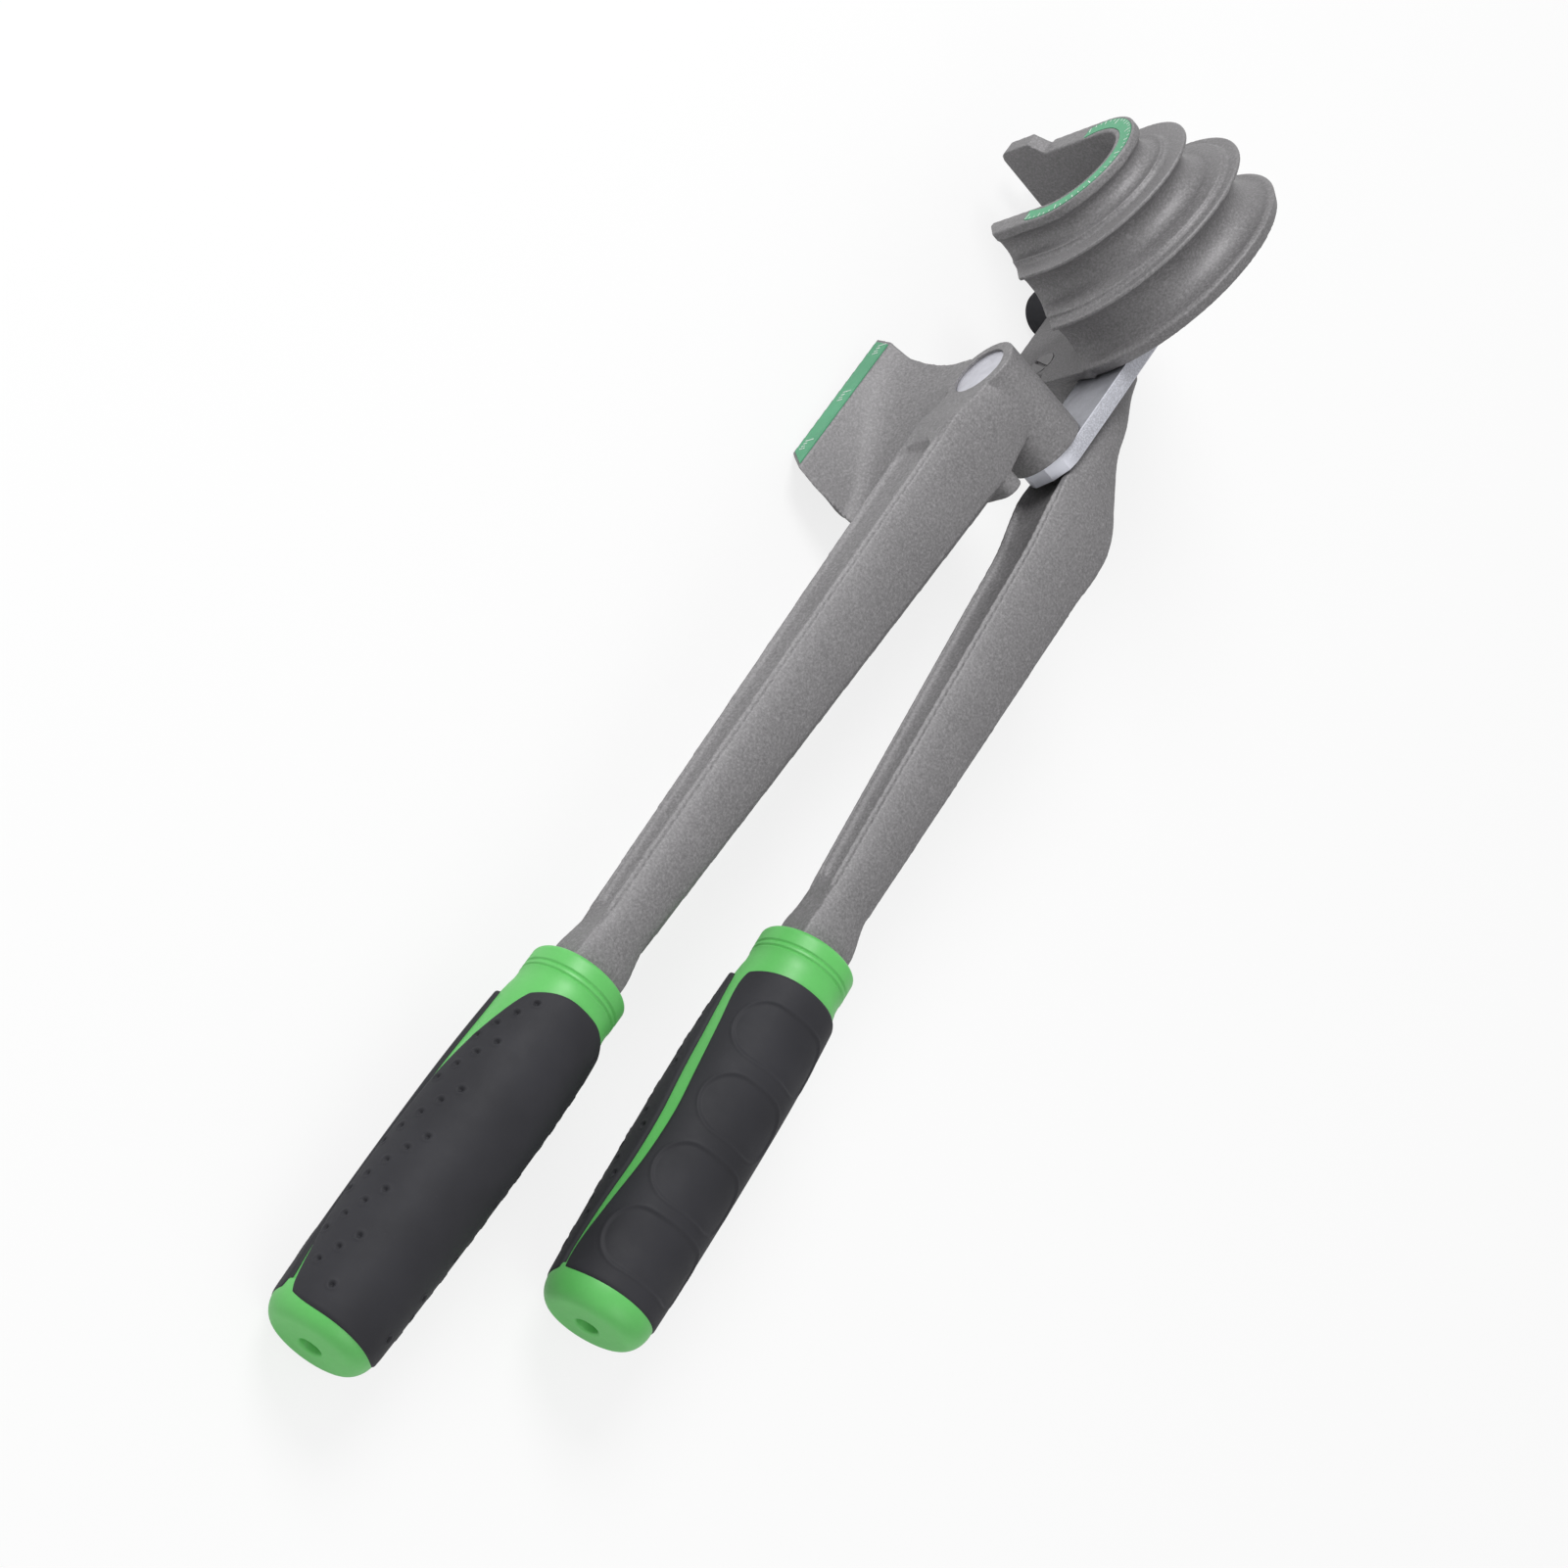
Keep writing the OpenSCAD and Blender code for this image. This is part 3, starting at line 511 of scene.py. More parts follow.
def grip_radius(x):
    """Outer radius of the core: fullest a third of the way along, slimmer at both ends."""
    t = (x - PAD_START) / (GRIP_BODY - PAD_START)
    behind = max(0.0, t - SWELL_AT) / (1 - SWELL_AT)
    ahead = max(0.0, SWELL_AT - t) / SWELL_AT
    return SWELL_R - (SWELL_R - WAIST_R) * behind ** 2 - FRONT_DROP * ahead ** 2


# Edges of the pads: (place along the grip, angle round it from the upper side)
PALM_EDGE = (
    (11, 40), (13.3, 50), (16.5, 59), (21, 67), (32, 81.5), (45, 93), (60, 98.5), (83, 99.5),
    (95.5, 88), (104, 79.5), (108.5, 70))
BACK_EDGE = (
    (12, 113), (14, 106), (16.5, 102.5), (23, 99.6), (32, 100.5), (40, 102), (60, 104.5), (83, 104),
    (95.5, 94.3), (102, 89), (106, 90), (109, 97))
FINGER_EDGE = (
    (13.5, 58), (15, 70), (17, 78), (21.5, 80), (32.5, 73.2), (46, 67.5), (59, 63.5), (73, 66.5),
    (86, 75.9), (98, 85.5), (104.5, 85), (106, 77))
HEEL_EDGE = (
    (13, 118), (15, 106), (20, 98.5), (32.8, 88.2), (46.7, 82.5), (60, 77), (73.4, 77.8),
    (86.5, 84.9), (99, 91), (104.5, 91), (106, 97))
# Starts of the rows of dimples on a palm pad; each row climbs round the grip
DIMPLE_ROWS = ((17.7, 43), (31.2, 51), (46, 51), (60.1, 50), (76, 53), (88.5, 47), (101.5, 41))
DIMPLE_STEP, DIMPLE_TRIES = (4.5, 10.3), 6
DIMPLE_R, DIMPLE_DEPTH = 0.62, 0.75
# Finger hollows: place along the grip and the angle where each one ends
HOLLOWS = ((30, 57), (51, 49), (72, 53), (92, 63))
HOLLOW_R = 8.2
# Height and width of the thin raised line round a dimple or a hollow
LIP, LIP_W = 0.16, 0.3
# Radii that turn an angle on a pad into a length on it
DIMPLE_SPAN_R, PAD_SPAN_R = 15.2, 14.8
# A pad's rounded border: its radius and its depth
BORDER_R, BORDER_DEPTH = 1.25, 1.15


def dimples(flip):
    """Places of the dimples on both sides of a palm pad."""
    spots = []
    for x, angle in DIMPLE_ROWS:
        for k in range(DIMPLE_TRIES):
            px, pa = x + DIMPLE_STEP[0] * k, angle + DIMPLE_STEP[1] * k
            if px < 106 and pa < curve(PALM_EDGE, px)[0] - 5:
                spots += [(px, pa), (px, -pa)]
    return [(x, 180 - a) if flip else (x, a) for x, a in spots]


def palm_relief(flip):
    """Height over a palm pad, with its dimples; flip puts them on the far side of the grip."""
    spots = dimples(flip)

    def relief(x, angle):
        angle = (angle + 90) % 360 - 90
        depth = 0.0
        for sx, sa in spots:
            if abs(x - sx) < 1.5 and abs(angle - sa) < 7:
                away = math.hypot(x - sx, math.radians(angle - sa) * DIMPLE_SPAN_R)
                depth -= DIMPLE_DEPTH * smooth_step(1.45 - away / DIMPLE_R)
                depth += LIP * math.exp(-((away - 1.15) / LIP_W) ** 2)
        return depth

    return relief


def finger_relief(x, angle):
    """Height over a finger pad, with its hollows."""
    angle = (angle + 180) % 360 - 180
    depth = 0.0
    for cx, end in HOLLOWS:
        if abs(x - cx) > 11:
            continue
        reach = math.radians(end) * PAD_SPAN_R - HOLLOW_R
        across = max(0.0, abs(math.radians(angle) * PAD_SPAN_R) - reach)
        away = math.hypot(x - cx, across)
        inside = HOLLOW_R - away
        depth -= 0.3 * smooth_step(inside / 0.8) + 0.45 * smooth_step(inside / 8)
        depth += LIP * math.exp(-((away - HOLLOW_R - 0.2) / LIP_W) ** 2)
    return depth


def pad_mesh(name, place, low_edge, high_edge, start, arch, end, relief, rise, fine):
    """Soft pad between two edge tables: a closed shell with a rounded border.

    It runs from start to end along the grip, and its ends bow by arch towards the edges.
    """
    nx, na = int(250 * fine), int(130 * fine)
    top, under = [], []
    for i in range(nx + 1):
        row, base = [], []
        s = i / nx
        for j in range(na + 1):
            t = j / na
            bow = abs(2 * t - 1)
            first = start + arch * bow ** 4
            last = end - 0.35 * arch * bow ** 6
            run = last - first
            x = first + run * s
            a0, a1 = low_edge(x), high_edge(x)
            angle = a0 + (a1 - a0) * t
            span = math.radians(a1 - a0) * PAD_SPAN_R
            edge = min(s * run, (1 - s) * run, t * span, (1 - t) * span)
            soft = 1 - math.sqrt(max(0.0, 1 - (1 - min(1.0, edge / BORDER_R)) ** 2))
            level = grip_radius(min(x, GRIP_BODY)) - 0.35 * smooth_step((x - GRIP_BODY) / 6)
            r = level + rise - BORDER_DEPTH * soft + relief(x, angle) * min(1.0, edge / 1.5)
            r_under = level - BORDER_DEPTH
            turn = math.radians(angle)
            row.append((x, r * math.cos(turn), r * math.sin(turn)))
            base.append((x, r_under * math.cos(turn), r_under * math.sin(turn)))
        top.append(row)
        under.append(base)
    bm = bmesh.new()
    tops = [[bm.verts.new(place @ Vector(p)) for p in row] for row in top]
    bases = [[bm.verts.new(place @ Vector(p)) for p in row] for row in under]
    for i in range(nx):
        for j in range(na):
            bm.faces.new((tops[i][j], tops[i + 1][j], tops[i + 1][j + 1], tops[i][j + 1]))
            bm.faces.new((bases[i][j], bases[i][j + 1], bases[i + 1][j + 1], bases[i + 1][j]))
    for i in range(nx):
        bm.faces.new((tops[i][0], bases[i][0], bases[i + 1][0], tops[i + 1][0]))
        bm.faces.new((tops[i][na], tops[i + 1][na], bases[i + 1][na], bases[i][na]))
    for j in range(na):
        bm.faces.new((tops[0][j], tops[0][j + 1], bases[0][j + 1], bases[0][j]))
        bm.faces.new((tops[nx][j], bases[nx][j], bases[nx][j + 1], tops[nx][j + 1]))
    return laid_mesh(name, bm)


def sleeve_profile():
    """Collar with its two fine grooves, then the green core between the pads."""
    neck_r, collar_end = 8.3, 12.0
    points = [(2.0, 0.0), (2.0, neck_r - 0.3), (0.9, neck_r), (0.25, neck_r + 0.5)]
    for i in range(9):
        a = math.pi / 2 * i / 8
        points.append((1.5 - 1.5 * math.cos(a), COLLAR_R - 1.7 + 1.7 * math.sin(a)))
    for x in (5.0, 6.6):
        points += [
            (x - 0.45, COLLAR_R), (x - 0.15, COLLAR_R - 0.3), (x, COLLAR_R - 0.38),
            (x + 0.15, COLLAR_R - 0.3), (x + 0.45, COLLAR_R - 0.02)]
    points += [(8.0, COLLAR_R - 0.2), (10.0, COLLAR_R - 0.15), (collar_end, COLLAR_R + 0.2)]
    for i in range(1, 25):
        x = collar_end + (GRIP_BODY - collar_end) * i / 24
        points.append((x, grip_radius(x) - 0.5))
    points += [(GRIP_BODY, 7.0), (GRIP_BODY, 0.0)]
    return points


def cap_profile():
    """Rounded end cap; its hanging hole is a blind bore."""
    straight, shoulder = 2.4, 4.6
    points = [(GRIP_BODY + 0.02, 0.0), (GRIP_BODY + 0.02, CAP_R - 0.5)]
    points += [
        (GRIP_BODY + 0.3, CAP_R - 0.15), (GRIP_BODY + 0.8, CAP_R), (GRIP_BODY + straight, CAP_R)]
    for i in range(1, 15):
        a = math.pi / 2 * i / 14
        x = GRIP_BODY + straight + (CAP_LEN - 2.6) * math.sin(a)
        points.append((x, CAP_R - shoulder + shoulder * math.cos(a)))
    points += [
        (GRIP_LEN - 0.1, 7.0), (GRIP_LEN, 4.2), (GRIP_LEN, 3.6), (GRIP_LEN - 0.15, 3.2),
        (GRIP_LEN - 0.5, 3.0), (GRIP_LEN - 6.0, 2.9), (GRIP_LEN - 6.3, 2.6), (GRIP_LEN - 6.3, 0.0)]
    return points


class TUBEBENDER_PG_settings(bpy.types.PropertyGroup):
    """Sizes and colours that a user may change before building the pieces."""

    casting_color: bpy.props.FloatVectorProperty(
        name="Casting", description="Paint of the castings",
        subtype="COLOR", size=3, min=0, max=1, default=(0.215, 0.21, 0.215))
    zinc_color: bpy.props.FloatVectorProperty(
        name="Zinc", description="Plate on the link and the bolts",
        subtype="COLOR", size=3, min=0, max=1, default=(0.36, 0.365, 0.4))
    bright_color: bpy.props.FloatVectorProperty(
        name="Bright steel", description="Turned heads of the pins",
        subtype="COLOR", size=3, min=0, max=1, default=(0.62, 0.62, 0.68))
    green_color: bpy.props.FloatVectorProperty(
        name="Green", description="Plastic of the collars and end caps",
        subtype="COLOR", size=3, min=0, max=1, default=(0.125, 0.53, 0.125))
    rubber_color: bpy.props.FloatVectorProperty(
        name="Rubber", description="Soft pads and foot",
        subtype="COLOR", size=3, min=0, max=1, default=(0.026, 0.026, 0.031))
    scale_color: bpy.props.FloatVectorProperty(
        name="Scale", description="Film under the angle scale",
        subtype="COLOR", size=3, min=0, max=1, default=(0.075, 0.33, 0.17))
    cast_voxel: bpy.props.FloatProperty(
        name="Casting detail", description="Cell size of the castings' skin", unit="LENGTH",
        default=0.00038, min=0.0002, max=0.002, precision=5)
    cast_rounds: bpy.props.IntProperty(
        name="Casting softness", description="Smoothing rounds of the castings' skin",
        default=1, min=0, max=12)
    pad_detail: bpy.props.FloatProperty(
        name="Pad detail", description="Share of full detail in the pads' meshes", subtype="FACTOR",
        default=1.0, min=0.2, max=1.5)
    floor_color: bpy.props.FloatVectorProperty(
        name="Floor", description="Colour of the studio floor",
        subtype="COLOR", size=3, min=0, max=1, default=(0.86, 0.86, 0.86))
    key_power: bpy.props.FloatProperty(
        name="Key light", description="Power of the main lamp", subtype="POWER",
        default=10.0, min=0, max=200)


# ---------------------------------------------------------------- castings

def paint_node(node, finish):
    """Gives a CAD node a finish and returns it."""
    piece = frame["nodes"][node]
    piece.data.materials.clear()
    piece.data.materials.append(finish_of(finish))
    return piece


def dress_node(node, slot):
    """Gives a CAD node whose shape is right the finish of its slot."""
    paint_node(node, slot)


# Flat band between an arm's channel and its flank
CHANNEL_MARGIN = 3.4
# Where each arm meets its grip, its half width and half depth there, and how much both flare
SHOE_NECK_X, DIE_NECK_X = 257.9, 208.5
NECK_WIDE, NECK_HIGH = 7.0, 6.9
FLARE_WIDE, FLARE_HIGH = 0.75, 1.1


def neck(x, start):
    """Half width and half depth of an arm's short flare under its collar."""
    flare = smooth_step((x - start) / 10)
    return NECK_WIDE + FLARE_WIDE * flare, NECK_HIGH + FLARE_HIGH * flare


def half_section(wide, high, sunk, share, ridge):
    """Quarter outline of an arm, from the middle of its channel round to its crowned flank."""
    flat = wide - CHANNEL_MARGIN
    c = max(0.3, share * flat)
    points = []
    for i in range(11):
        y = c * math.sin(math.pi / 2 * i / 10)
        points.append((y, high - sunk * (1 - (y / c) ** 2) ** 0.55))
    points += [(c + (flat - c) * 0.5, high), (flat + 0.02, high)]
    points += [
        (flat + 0.15, high + 0.45 * ridge), (flat + 0.6, high + 0.45 * ridge),
        (flat + 0.95, high - 0.2 * ridge), (flat + 1.25, high - 0.8 * ridge)]
    start_y, start_z = flat + 1.7, high - 0.15 - 0.4 * ridge
    for i in range(14):
        k = 1 - i / 13
        points.append((start_y + (wide - start_y) * (1 - k ** 2.2), start_z * k))
    return points


def arm_ring(x, across, level, wide, high, sunk, share, ridge):
    """Whole outline of an arm at x, mirrored from its quarter."""
    quarter = half_section(wide, high, sunk, share, ridge)
    side = quarter + [(y, -z) for y, z in quarter[-2::-1]]
    ring = side + [(-y, z) for y, z in side[::-1][1:-1]]
    return [(x, across + y, level + z) for y, z in ring]


def channel_at(x, start, end, wide):
    """Depth share and width share of a channel with round ends."""
    run = min(x - start, end - x)
    if run <= 0:
        return 0.0, 0.2
    reach = min(1.0, run / wide)
    return smooth_step(reach * 2.6), max(0.2, math.sqrt(1 - (1 - reach) ** 2))


def shoe_arm_mesh():
    rings = []
    steps = [64 + 2.0 * i for i in range(98)] + [259.5 + 1.2 * i for i in range(13)]
    for x in steps:
        run = SHOE_NECK_X - x
        wide, high = NECK_WIDE + 0.0182 * run, NECK_HIGH + 0.0265 * run
        if x > SHOE_NECK_X:
            wide, high = neck(x, 260.0)
        if x < 82:
            wide -= 0.05 * (82 - x)
        deep, share = channel_at(x, 95, 257, 0.9 * wide)
        level = axis_level(SHOE_AXIS, x)
        # At the root the arm lies flush with the top of the barrel
        high = min(high, 29.2 - level + 2.6 * smooth_step((x - 74) / 22))
        ridge = smooth_step((x - 86) / 16) * (1 - smooth_step((x - 256) / 7))
        rings.append(arm_ring(x, 0, level, wide, high, 2.3 * deep, share, ridge))
    return laid_mesh("shoe_arm_loft", loft(rings))


DIE_NECK_LEVEL, DIE_NECK_SLOPE = -25.02, 0.0577
# Place, level, place across, half width and half depth of the die arm
DIE_ARM = (
    (24, -9.8, -17.0, 13.0, 3.75), (30, -10.5, -15.6, 12.2, 4.45), (42, -11.3, -7.8, 9.4, 5.27),
    (54, -11.9, -3.0, 8.3, 5.9), (66, -14.6, -0.9, 8.6, 8.55), (77, -17.4, -0.9, 10.2, 11.3),
    (86, -18.6, -0.5, 9.9, 11.4), (97, -19.4, 0.0, 9.05, 10.5), (120, -20.55, 0.0, 8.6, 9.75),
    (150, -22.07, 0.0, 8.06, 8.8), (180, -23.58, 0.0, 7.5, 7.85),
    (DIE_NECK_X, DIE_NECK_LEVEL, 0.0, NECK_WIDE, NECK_HIGH))


def die_arm_mesh():
    rings = []
    steps = [24 + 2.0 * i for i in range(93)] + [209.5 + 1.25 * i for i in range(13)]
    for x in steps:
        level, across, wide, high = curve(DIE_ARM, x)
        if x > DIE_NECK_X:
            run = x - DIE_NECK_X
            level = DIE_NECK_LEVEL - DIE_NECK_SLOPE * run - 0.4 * smooth_step(run / 8)
            wide, high = neck(x, 210.5)
        deep, share = channel_at(x, 62, 207, 0.9 * wide)
        ridge = smooth_step((x - 70) / 12) * (1 - smooth_step((x - 206) / 6))
        rings.append(arm_ring(x, across, level, wide, high, 2.6 * deep, share, ridge))
    return laid_mesh("die_arm_loft", loft(rings))


def rod(x, y, radius, low, high, steps=64):
    """Closed cylinder along the stack."""
    return plate(circle(x, y, radius, steps), low, high)


def plate(outline, low, high):
    """Closed plate across the stack."""
    bm = bmesh.new()
    prism(bm, outline, low, high)
    return laid_mesh("plate", bm)


BARREL_R, BARREL_TOP = 11.0, 29.1
# The shoe: its floor, its root inside the barrel, its top, and where its back starts there
SHOE_LOW, SHOE_ROOT, SHOE_TOP, SHOE_BACK = 3.7, -9.0, 40.3, -34.0
# Face and top of each step, then the groove in it: centre across, level and radius
SHOE_FACES = ((-27.9, 20.9), (-35.3, 33.0), (-43.15, SHOE_TOP))
SHOE_GROOVES = ((-29.2, 10.6, 6.35), (-36.75, 25.3, 4.76), (-43.55, 35.975, 3.175))


def shoe_profile(u):
    """Outline of the shoe across the tube at a share u of its length."""
    points = [(SHOE_ROOT, SHOE_LOW), (SHOE_FACES[0][0], SHOE_LOW)]
    for k, ((face, top), (cy, cz, r)) in enumerate(zip(SHOE_FACES, SHOE_GROOVES)):
        half = math.degrees(math.acos((face - cy) / r))
        points += arc(cy, cz, r, -half, half, 12)
        points.append((face, top))
        if k + 1 < len(SHOE_FACES):
            points.append((SHOE_FACES[k + 1][0], top))
    # The back slopes from the top edge down to the web, with a hollow that is widest by the barrel
    t = smooth_step(u / 1.1)
    web = BARREL_TOP - 10.1 * t
    tilt = math.radians(29.4 - 12.4 * t)
    radius = min(7.0 + 16.0 * (1 - t), (SHOE_TOP - web) / (1 - math.sin(tilt)))
    tangent_z = web + radius * (1 - math.sin(tilt))
    tangent_y = SHOE_BACK + (SHOE_TOP - tangent_z) * math.tan(tilt)
    for i in range(7):
        k = i / 6 * 0.98
        points.append((SHOE_BACK + (tangent_y - SHOE_BACK) * k,
                       SHOE_TOP + (tangent_z - SHOE_TOP) * k))
    for i in range(15):
        a = tilt + (math.pi / 2 - tilt) * i / 14
        points.append((tangent_y + radius * (math.cos(tilt) - math.cos(a)),
                       web + radius * (1 - math.sin(a))))
    points.append((SHOE_ROOT, web))
    return points


def shoe_block_mesh():
    """The stepped shoe with its web; both its ends lean away from the grips."""
    steps = 32
    rings = []
    for k in range(steps + 1):
        u = k / steps
        ring = []
        for y, z in shoe_profile(u):
            reach = max(0.0, -y - 30) / 13.15
            near, far = -7.3 - 5.5 * reach, 43.7 - 11.0 * reach
            ring.append((LINK_LEN + near + (far - near) * u, y, z))
        rings.append(ring)
    return laid_mesh("shoe_block", loft(rings))


# Holes in the lug under the die: two screws, sunk in the die's floor, and the latch pin
SCREW_SPOTS = ((29.23, -27.52), (-3.95, -30.96))
SCREW_R, SCREW_HEAD_R = 3.05, 4.45
DIE_FLOOR = 3.3
LATCH_SPOT, LATCH_PIN_R = (-25, -31), 2.05
# Outline of the lug, its underside and its top
LUG = (
    (-29.2, -11.5), (-29.2, -37.8), (-26.1, -43), (26.9, -43), (30, -38.7), (34, -22.8),
    (35.6, -11.5))
LUG_LOW, LUG_TOP = -12, -0.05
# Ear beside the barrel: its rounded end, and its height along the stack
EAR_X, EAR_Y, EAR_R, EAR_ROOT = LINK_LEN + 21, 5.0, 3.5, -30
EAR_LOW, EAR_TOP = 3.9, 8.6
# Bores of the barrel, for the bushing and for the pin's wider head
BUSHING_R, PIN_HEAD_R = 6.6, 8.08


class TUBEBENDER_OT_castings(bpy.types.Operator):
    """Builds the die, the die handle and the shoe handle with the soft skin of castings"""

    bl_idname = "tubebender.castings"
    bl_label = "Castings"

    def execute(self, context):
        s = context.scene.tube_bender

        def cast(name, solids, cutters):
            return fuse(name, solids, s.cast_voxel, s.cast_rounds, cutters)

        pockets = [rod(*at, SCREW_HEAD_R, DIE_FLOOR - 1.8, DIE_FLOOR + 3) for at in SCREW_SPOTS]
        mesh = cast("die_casting", [frame["nodes"]["bending_die"].data], pockets)
        new_piece("die_casting", mesh, "die_handle", "casting", "bending_die", sharp=60)

        holes = [rod(*LATCH_SPOT, LATCH_PIN_R, -20, 5)]
        holes += [rod(*at, SCREW_R, -20, 5) for at in SCREW_SPOTS]
        solids = [die_arm_mesh(), plate(LUG, LUG_LOW, LUG_TOP)]
        mesh = cast("die_handle_casting", solids, holes)
        new_piece("die_handle_casting", mesh, "die_handle", "casting", "die_arm", sharp=60)

        outline = [(EAR_X - EAR_R, EAR_ROOT)] + arc(EAR_X, EAR_Y, EAR_R, 180, 0, 16)
        ear = plate(outline + [(EAR_X + EAR_R, EAR_ROOT)], EAR_LOW, EAR_TOP)
        barrel = rod(LINK_LEN, 0, BARREL_R, -0.2, BARREL_TOP, 128)
        bores = [rod(LINK_LEN, 0, BUSHING_R, -2, 27), rod(LINK_LEN, 0, PIN_HEAD_R, 25.3, 34, 96)]
        mesh = cast("shoe_casting", [shoe_arm_mesh(), shoe_block_mesh(), barrel, ear], bores)
        new_piece("shoe_casting", mesh, "shoe_handle", "casting", "shoe_arm", sharp=50)
        return {"FINISHED"}


# ---------------------------------------------------------------- link and fasteners

LINK_TOP, LINK_T, LINK_HALF = -0.5, 5.0, 9.3
LINK_BORE_R = 5.05
STACK_AXIS = (LAY.to_3x3() @ Vector((0, 0, 1))).normalized()


def link_mesh():
    """Flat link with a cut corner and slightly rounded rims."""
    outline = arc(0, 0, LINK_HALF, 90, 270, 28)
    outline += arc(LINK_LEN, 0, LINK_HALF, -90, -14, 12)
    outline += [(LINK_LEN + 7.6, 3.8), (LINK_LEN + 4.2, 8.3)]
    outline += arc(LINK_LEN, 0, LINK_HALF, 78, 90, 2)
    bm = bmesh.new()
    prism(bm, outline, LINK_TOP - LINK_T, LINK_TOP)
    bmesh.ops.recalc_face_normals(bm, faces=bm.faces)
    rim = [e for e in bm.edges if len({round(v.co.z, 3) for v in e.verts}) == 1]
    bmesh.ops.bevel(bm, geom=rim, offset=0.5, segments=2, profile=0.6, affect="EDGES")
    return laid_mesh("link", bm)


# ---------------------------------------------------------------- scales

# Marks of the angle scale: first angle, sweep, number of spaces and outer radius
MARK_START, MARK_SWEEP, MARK_SPACES, MARK_R = -16, 212, 36, 19.7
LONG_MARK, HALF_MARK, SHORT_MARK, MARK_W = 2.0, 1.3, 0.8, 0.28
# Marks of the shoe's strip: where each group starts, and the lines of a group
STRIP_SPOTS = ((-8.5, -37.2), (10.0, -37.6), (29.0, -38.4))
STRIP_LINES, STRIP_PITCH, STRIP_W = (3.6, 1.6, 1.6, 2.4), 1.1, 0.34


def mark(bm, x, y, turn, long, wide, level):
    """One printed line, a hair above its film."""
    place = Matrix.Translation((x, y, 0)) @ Matrix.Rotation(turn, 4, "Z")
    corners = ((-1, -1), (1, -1), (1, 1), (-1, 1))
    outline = [place @ Vector((a * long / 2, b * wide / 2, 0)) for a, b in corners]
    prism(bm, [(v.x, v.y) for v in outline], level - 0.05, level + 0.04)


class TUBEBENDER_OT_scales(bpy.types.Operator):
    """Finishes the angle scale and the shoe's strip, and draws their marks"""

    bl_idname = "tubebender.scales"
    bl_label = "Scales"

    def execute(self, context):
        for node in ("angle_label", "shoe_label"):
            dress_node(node, "scale")
        level = -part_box("angle_label")[0].y / MM
        bm = bmesh.new()
        for k in range(MARK_SPACES + 1):
            angle = math.radians(MARK_START + MARK_SWEEP * k / MARK_SPACES)
            long = LONG_MARK if k % 6 == 0 else HALF_MARK if k % 3 == 0 else SHORT_MARK
            r = MARK_R - long / 2
            mark(bm, r * math.cos(angle), r * math.sin(angle), angle, long, MARK_W, level)
        mesh = laid_mesh("angle_marks", bm)
        new_piece("angle_marks", mesh, "die_handle", "scale", finishes=["white_print"])
        level = -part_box("shoe_label")[0].y / MM
        bm = bmesh.new()
        for x, y in STRIP_SPOTS:
            for k, long in enumerate(STRIP_LINES):
                across = y - (STRIP_LINES[0] - long) / 2
                mark(bm, LINK_LEN + x + STRIP_PITCH * k, across, math.pi / 2, long, STRIP_W, level)
        mesh = laid_mesh("strip_marks", bm)
        new_piece("strip_marks", mesh, "shoe_handle", "scale", finishes=["white_print"])
        return {"FINISHED"}


class TUBEBENDER_OT_fasteners(bpy.types.Operator):
    """Finishes the pins, bolts, latch and foot, and builds the link with its sheared rim"""

    bl_idname = "tubebender.fasteners"
    bl_label = "Link, pins and bolts"

    def execute(self, context):
        for node in ("pivot_bolt", "pivot_washer", "pivot_nut", "latch_pin", "tube_latch"):
            dress_node(node, "zinc_steel")
        # The screws were painted over with the casting
        paint_node("tail_screws", "casting")
        for node in ("shoe_pin", "shoe_bushing"):
            dress_node(node, "bright_steel")
        dress_node("tail_foot", "black_rubber")
        bores = [rod(x, 0, LINK_BORE_R, -10, 5) for x in (0, LINK_LEN)]
        mesh = fuse("link_bar", [link_mesh()], 0, 0, bores)
        piece = new_piece("link_bar", mesh, "link", "zinc_steel", "link_plate",
                          sharp=18, finishes=["zinc_steel", "sheared"])
        for face in piece.data.polygons:
            face.material_index = 1 if abs(face.normal.dot(STACK_AXIS)) < 0.3 else 0
        return {"FINISHED"}


